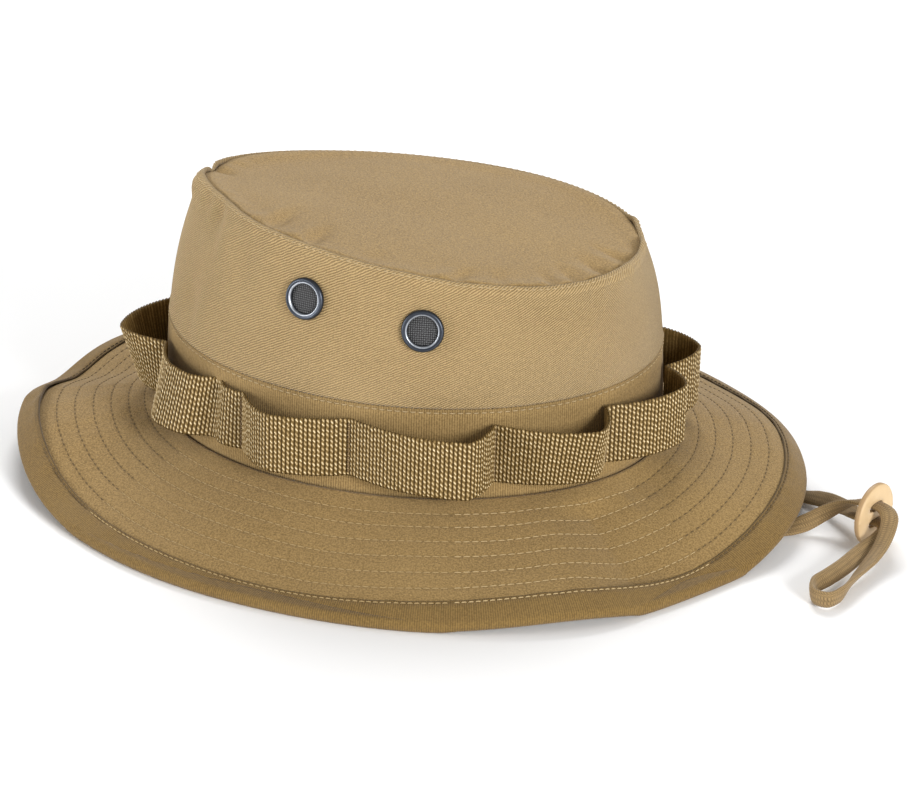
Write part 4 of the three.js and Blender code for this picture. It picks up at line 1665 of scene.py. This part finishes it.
@dataclass
class Vents:
    """Pressed metal vents with woven wire screens."""

    crown: Crown
    metal: bpy.types.Material
    wire: bpy.types.Material
    names: tuple[str, ...] = ("front_left", "front_right", "back_right", "back_left")
    sides: int = 56
    inner: float = 5.8
    outer: float = 8.2
    barrel: float = 6.7
    wires: float = 0.85
    cells: int = 80

    def profile(self) -> tuple[Array, Array]:
        """Section of the ring.

        Returns:
            Radius and height of each point, and how strong its painted highlight is.
        """
        back = -(FORM.cloth + 1.2)
        points = np.array(
            [
                (self.inner, 0.6),
                (self.inner + 0.05, 1.2),
                (self.inner + 0.3, 1.75),
                (self.inner + 0.6, 1.88),
                (self.inner + 0.9, 1.7),
                (self.inner + 1.25, 1.92),
                (self.inner + 1.65, 1.95),
                (self.outer - 0.35, 1.65),
                (self.outer - 0.08, 1.1),
                (self.outer, 0.6),
                (self.outer - 0.1, 0.3),
                (self.barrel, 0.3),
                (self.barrel, back),
                (self.barrel + 1.0, back),
                (self.barrel + 1.0, back - 0.8),
                (self.inner, back - 0.8),
            ]
        )
        # Painted highlight, strongest on the top of the inner lip.
        lip_highlight = np.array([0.05, 0.5, 1.0, 0.6, 0.0, 0.03, 0.06, 0.04, 0.0, 0.0, 0, 0, 0, 0, 0, 0], float)
        return points, lip_highlight

    def build_vent(self, name: str, degrees: float, share: float) -> None:
        """Turns the ring's section about the vent's axis and weaves its screen.

        Args:
            name: Which vent it is.
            degrees: Angle round the hat.
            share: Share of the way up the side.
        """
        middle, level, third, axis = self.crown.vent_place(degrees, share)
        spoke = spokes(turns(self.sides), level, third)
        section, lip_highlight = self.profile()
        loop = middle + section[:, 0][:, None] * spoke[:, None] + section[:, 1][:, None] * axis
        body = closed_loop(loop, {"lip_highlight": np.tile(lip_highlight, self.sides)})
        settle(body.to_object(f"vent_ring_{name}_metal"), self.metal, Slot.GUNMETAL, f"vent_ring_{name}")
        self.build_screen(name, middle, level, third, axis)

    def build_screen(self, name: str, middle: Array, level: Array, third: Array, axis: Array) -> None:
        """Screen: a disc whose two sets of wires pass over and under each other.

        Formula: the height is the larger of two round wires, each lifted by a cosine of the other way.

        Args:
            name: Which vent it is.
            middle: Middle of the vent.
            level: Level direction.
            third: Direction across it.
            axis: Outward direction.
        """
        reach = self.inner - 0.05
        x, y = (reach * part for part in square_disc(self.cells))
        turns_x = x / self.wires * math.pi
        turns_y = y / self.wires * math.pi
        over = np.cos(turns_x) * np.cos(turns_y)
        wire_x = np.abs(np.cos(turns_y)) ** 0.7 * (0.6 + 0.4 * over)
        wire_y = np.abs(np.cos(turns_x)) ** 0.7 * (0.6 - 0.4 * over)
        weave = smooth(0.45, 1.0, np.maximum(wire_x, wire_y))
        flat = middle + x[..., None] * level + y[..., None] * third
        top = flat + (0.25 + 0.25 * weave)[..., None] * axis
        # Painted shade: the low places between the wires take the near black of the holes.
        values = {"wire": np.concatenate([weave.ravel(), np.full(weave.size, 0.3)])}
        body = plate(top, flat + 0.1 * axis, values)
        settle(body.to_object(f"vent_screen_{name}_wire"), self.wire, Slot.SCREEN, f"vent_screen_{name}")

    def build(self) -> None:
        """Builds all vents."""
        for name, (degrees, share) in zip(self.names, self.crown.vents):
            self.build_vent(name, degrees, share)


@dataclass
class ChinCord:
    """Chin cord, a flat braided lace in one loop, and the leather slider on it."""

    lace: bpy.types.Material
    leather: bpy.types.Material
    width: float = 7.0
    thick: float = 2.4
    sides: int = 36
    steps: int = 1800
    fine: int = 8000
    strand: float = 0.9
    radius: float = 12.5
    slider_thick: float = 2.4
    slider_at: tuple[float, float, float] = (190.0, 14.0, 12.9)
    slider_facing: float = -18.0
    slot_rise: float = 3.3
    slot_half: tuple[float, float] = (4.5, 1.6)
    slider_sides: int = 120
    slider_bevel: float = 0.45
    # Stops of the cord: x, y, z, and the turn of the lace about its run in degrees
    route: tuple[tuple[float, float, float, float], ...] = (
        (1.5, 75.8, 36, 0),
        (1.5, 75.4, 22, 0),
        (3, 73, 9, 0),
        (12, 64, 3.6, 0),
        (40, 50, 2.3, 0),
        (75, 53, 2.3, 0),
        (110, 52, 2.3, 0),
        (140, 45, 2.3, 0),
        (154.5, 38.8, 2.6, -15),
        (161.5, 35.4, 4.4, -38),
        (168, 31, 6.2, -50),
        (176.5, 23.8, 8.2, -30),
        (185.4, 15.5, 9.6, 0),
        (194.6, 12.5, 9.5, 0),
        (196.4, 8.5, 8.6, 15),
        (194.6, 3, 6.8, 30),
        (191.8, -2.5, 5.3, 38),
        (189.6, -10, 4.7, 42),
        (187.2, -20, 4.4, 46),
        (184.2, -30, 4.4, 56),
        (181.2, -39, 4.3, 75),
        (183.5, -46.8, 4.2, 85),
        (189, -48, 4.2, 85),
        (192.3, -42, 4.2, 85),
        (193.2, -32, 4.2, 62),
        (194.6, -22, 4.6, 36),
        (196.4, -13, 5.8, 20),
        (197.9, -4, 8.2, 14),
        (198.4, 3, 11.6, 10),
        (197.6, 8.8, 14.8, 8),
        (194.6, 12.5, 16.2, 0),
        (185.4, 15.5, 16.2, 0),
        (177, 16.5, 13, -50),
        (170.6, 15.2, 9, -88),
        (165, 12, 5.5, -112),
        (161, 8.8, 3.8, -150),
        (157, 5.5, 2.7, -172),
        (140, -4, 2.3, -180),
        (110, -22, 2.3, -180),
        (75, -39, 2.3, -180),
        (40, -50, 2.3, -180),
        (12, -63.5, 3.6, -180),
        (3, -72.5, 9, -180),
        (1.5, -74.8, 22, -180),
        (1.5, -75.2, 36, -180),
    )

    def centreline(self) -> tuple[Array, Array]:
        """Evenly spaced points of the route and the turn of the lace there.

        Formula: a centripetal Catmull-Rom curve through the route, in which the spacing of the knots is
        the square root of the distance between points.

        Returns:
            Points in millimetres, and turns in radians.
        """
        stops = np.array(self.route)
        place = stops[:, :3]
        padded = np.concatenate([2 * place[:1] - place[1:2], place, 2 * place[-1:] - place[-2:-1]])
        gaps = np.sqrt(np.linalg.norm(np.diff(padded, axis=0), axis=1))
        fine = np.linspace(0.0, len(place) - 1.0, self.fine)
        index = np.minimum(fine.astype(int), len(place) - 2)
        t = (fine - index)[:, None]
        p0, p1, p2, p3 = (padded[index + k] for k in range(4))
        d0, d1, d2 = (gaps[index + k][:, None] for k in range(3))
        m1 = (p1 - p0) / d0 - (p2 - p0) / (d0 + d1) + (p2 - p1) / d1
        m2 = (p2 - p1) / d1 - (p3 - p1) / (d1 + d2) + (p3 - p2) / d2
        m1, m2 = m1 * d1, m2 * d1
        cubic = 2.0 * p1 - 2.0 * p2 + m1 + m2
        square = -3.0 * p1 + 3.0 * p2 - 2.0 * m1 - m2
        line = ((cubic * t + square) * t + m1) * t + p1
        turn = np.interp(fine, np.arange(len(place)), stops[:, 3])
        length = run_lengths(line)
        even = np.linspace(0.0, length[-1], self.steps)
        return read_line(even, length, line), np.radians(np.interp(even, length, turn))

    def build_lace(self) -> bpy.types.Object:
        """Lace: an oval section with a herringbone braid, carried along the route.

        Returns:
            The dressed lace.
        """
        points, turn = self.centreline()
        run = unit(np.gradient(points, axis=0))
        level = unit(np.cross(run, UP))
        rise = np.cross(level, run)
        wide = spokes(turn, level, rise)
        thin = np.cross(wide, run)
        along, about = np.meshgrid(run_lengths(points), turns(self.sides), indexing="ij")
        across = np.cos(about) * self.width / 2.0
        herring = along + np.abs(((across / self.strand) % 2.0) - 1.0) * self.strand
        column = np.abs(np.sin(math.pi * across / self.strand))
        braid = np.abs(np.sin(math.pi * herring)) ** 0.7 * (0.6 + 0.4 * column)
        lift = 0.16 * braid
        core = 0.14
        x = fuller(np.cos(about), 0.85) * (self.width / 2.0 - core)
        y = fuller(np.sin(about), 0.85) * (self.thick / 2.0 - core)
        offset_x = x + lift * np.cos(about)
        offset_y = y + lift * np.sin(about)
        tube = points[:, None] + offset_x[..., None] * wide[:, None] + offset_y[..., None] * thin[:, None]
        ring = np.arange(self.sides)
        caps = np.stack([ring[::-1], (self.steps - 1) * self.sides + ring])
        faces = [quads(*tube.shape[:2], False, True), caps]
        body = Body(tube.reshape(-1, 3), faces, None, {"braid": braid.ravel()}).outward()
        return settle(body.to_object("chin_cord_lace"), self.lace, Slot.LACE, "chin_cord")

    def build_slider(self) -> bpy.types.Object:
        """Slider: a leather disc with rounded rims and two level slots, welded from two halves.

        Returns:
            The dressed slider.
        """
        turn = math.radians(self.slider_facing)
        axis = np.array([math.cos(turn), math.sin(turn), 0.0])
        level = np.array([-math.sin(turn), math.cos(turn), 0.0])
        centre = np.array(self.slider_at)
        halves = [self.half_disc(sign, axis, level, centre) for sign in (1.0, -1.0)]
        body = Body.joined(halves)
        body.values = {"cut_edge": np.concatenate([half.values["cut_edge"] for half in halves])}
        item = body.welded().to_object("cord_slider_leather")
        return settle(item, self.leather, Slot.LEATHER, "cord_slider")

    def half_disc(self, sign: float, axis: Array, level: Array, centre: Array) -> Body:
        """One half of the slider: a ring from its slot to the half-round outline, with thickness.

        Formula: each point goes from the slot's outline to the rim's by a share. Both outlines and the
        straight chord, which is left open for the other half, are columns of one grid.

        Args:
            sign: One for the upper half and minus one for the lower.
            axis: Direction through the disc.
            level: Level direction across it.
            centre: Middle of the disc.

        Returns:
            The half, open along its chord.
        """
        count = self.slider_sides
        t = turns(count)
        wide, tall = self.slot_half
        slot_u = wide * fuller(np.cos(t), 0.55)
        slot_v = tall * fuller(np.sin(t), 0.9) + self.slot_rise
        rim_u = self.radius * np.cos(t)
        rim_v = np.maximum(self.radius * np.sin(t), 0.0)
        half = self.slider_thick / 2.0
        edge_at = half - self.slider_bevel
        face = np.array([0.06, 0.3, 0.6, 0.94])
        shares = np.concatenate([[0.0, 0.0], face, [1.0, 1.0], face[::-1]])
        front = np.full(face.size, half)
        depth = np.concatenate([[-edge_at, edge_at], front, [edge_at, -edge_at], -front])
        straight = t > math.pi + 1e-6
        free = ~straight[:, None]
        u = slot_u[:, None] + (rim_u - slot_u)[:, None] * shares
        v = slot_v[:, None] + (rim_v - slot_v)[:, None] * shares
        deep = np.where(free | (shares < 0.5), depth, np.sign(depth) * half)
        edge = ((shares < 0.01) | (shares > 0.99)) * np.where(free | (shares < 0.5), 1.0, 0.0)
        loop = centre + u[..., None] * level + sign * v[..., None] * UP + deep[..., None] * axis
        faces = quads(count, shares.size, True, True)
        chord = t > math.pi - 1e-6
        rim_column = face.size + 2
        outer = (faces[:, 0] % shares.size == rim_column) & chord[faces[:, 0] // shares.size]
        return Body(loop.reshape(-1, 3), [faces[~outer]], None, {"cut_edge": edge.ravel()}).outward()

    def build(self) -> None:
        slider = self.build_slider()
        lace = self.build_lace()


@dataclass
class Studio:
    """Pale floor, soft light, and a camera at the photograph's angle."""

    camera_at: tuple[float, float, float] = (471.8, -1248.8, 638.3)
    camera_aim: tuple[float, float, float] = (23.75, -6.4, 38.4)
    camera_roll: float = 1.84
    lens: float = 142.6
    sensor: float = 36.0
    floor_reach: float = 6.0
    light_aim: tuple[float, float, float] = (0.0, 0.0, 0.07)
    surround: float = 0.42
    # Soft lights: name, place in metres, size, power
    lights: tuple[tuple[str, tuple[float, float, float], float, float], ...] = (
        ("key", (2.1, -1.5, 1.0), 0.8, 65.0),
        ("fill", (-1.7, -1.4, 0.4), 1.0, 31.0),
        ("back", (-0.5, 1.3, 1.7), 1.0, 30.0),
    )

    def build_camera(self) -> None:
        """Camera: from its place it looks at the aim point, rolled a little."""
        data = bpy.data.cameras.new("camera")
        data.lens = self.lens
        data.sensor_width = self.sensor
        data.clip_end = 50.0
        camera = linked("camera", data)
        place = Vector(self.camera_at) * MM
        look = (Vector(self.camera_aim) * MM - place).to_track_quat("-Z", "Y")
        roll = Matrix.Rotation(math.radians(self.camera_roll), 4, "Z")
        camera.matrix_world = Matrix.Translation(place) @ look.to_matrix().to_4x4() @ roll
        bpy.context.scene.camera = camera

    def build_floor(self) -> None:
        """Wide pale floor."""
        mesh = bpy.data.meshes.new("floor")
        reach = self.floor_reach
        corners = [(-reach, -reach, 0.0), (reach, -reach, 0.0), (reach, reach, 0.0), (-reach, reach, 0.0)]
        mesh.from_pydata(corners, [], [(0, 1, 2, 3)])
        floor = linked("floor", mesh)
        material, nodes, shader = new_material("pale floor")
        nodes.feed(shader, {"Base Color": (0.95, 0.95, 0.95, 1.0), "Roughness": 0.9})
        mesh.materials.append(material)

    def area(self, name: str, place: tuple[float, float, float], size: float, power: float) -> None:
        """Soft square light that faces the hat.

        Args:
            name: Name of the light.
            place: Where it stands, in metres.
            size: Length of its sides.
            power: Its power in watts.
        """
        data = bpy.data.lights.new(name, "AREA")
        data.shape = "SQUARE"
        data.size = size
        data.energy = power
        light = linked(name, data)
        light.location = place
        aim = Vector(self.light_aim) - Vector(place)
        light.rotation_mode = "QUATERNION"
        light.rotation_quaternion = aim.to_track_quat("-Z", "Y")

    def build_light(self) -> None:
        """White surround and three soft lights."""
        world = bpy.data.worlds.new("surround")
        world.use_nodes = True
        look = {"Color": (1.0, 1.0, 1.0, 1.0), "Strength": self.surround}
        Nodes(world.node_tree).feed(world.node_tree.nodes["Background"], look)
        bpy.context.scene.world = world
        for row in self.lights:
            self.area(*row)

    def build(self) -> None:
        """Builds the whole stage."""
        bpy.context.scene.view_settings.view_transform = "Standard"
        self.build_camera()
        self.build_floor()
        self.build_light()


def main() -> None:
    """Loads the solids, dresses the hat piece by piece, and sets up the studio."""
    logging.basicConfig(level=logging.INFO, format="%(message)s")
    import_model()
    effects = ClothEffects()
    twill = FINISH.twill.material(effects)
    brim_cloth = FINISH.brim.material(effects)
    rib = FINISH.rib.material(effects)
    thread = FINISH.thread("tan thread", (0.50, 0.365, 0.19))
    tack_thread = FINISH.thread("brown thread", (0.20, 0.125, 0.055))
    Studio().build()
    ChinCord(FINISH.lace(), FINISH.leather()).build()
    crown = Crown(twill, FINISH.plain.material(effects), FINISH.band.material(effects), thread)
    crown.build()
    # One brim thread in three copies: a lit one, one with painted shadow and one half shaded.
    lit_brim_thread = FINISH.thread("lit brim thread", (0.56, 0.41, 0.205))
    shadowed_thread = FINISH.thread("shadowed thread", (0.13, 0.082, 0.03))
    half_shaded_thread = FINISH.thread("half-shaded thread", (0.45, 0.315, 0.14))
    Brim(brim_cloth, rib, lit_brim_thread, half_shaded_thread, shadowed_thread).build()
    BranchStrap(FINISH.webbing(), tack_thread).build()
    Vents(crown, FINISH.gunmetal(), FINISH.screen()).build()


if __name__ == "__main__":
    main()
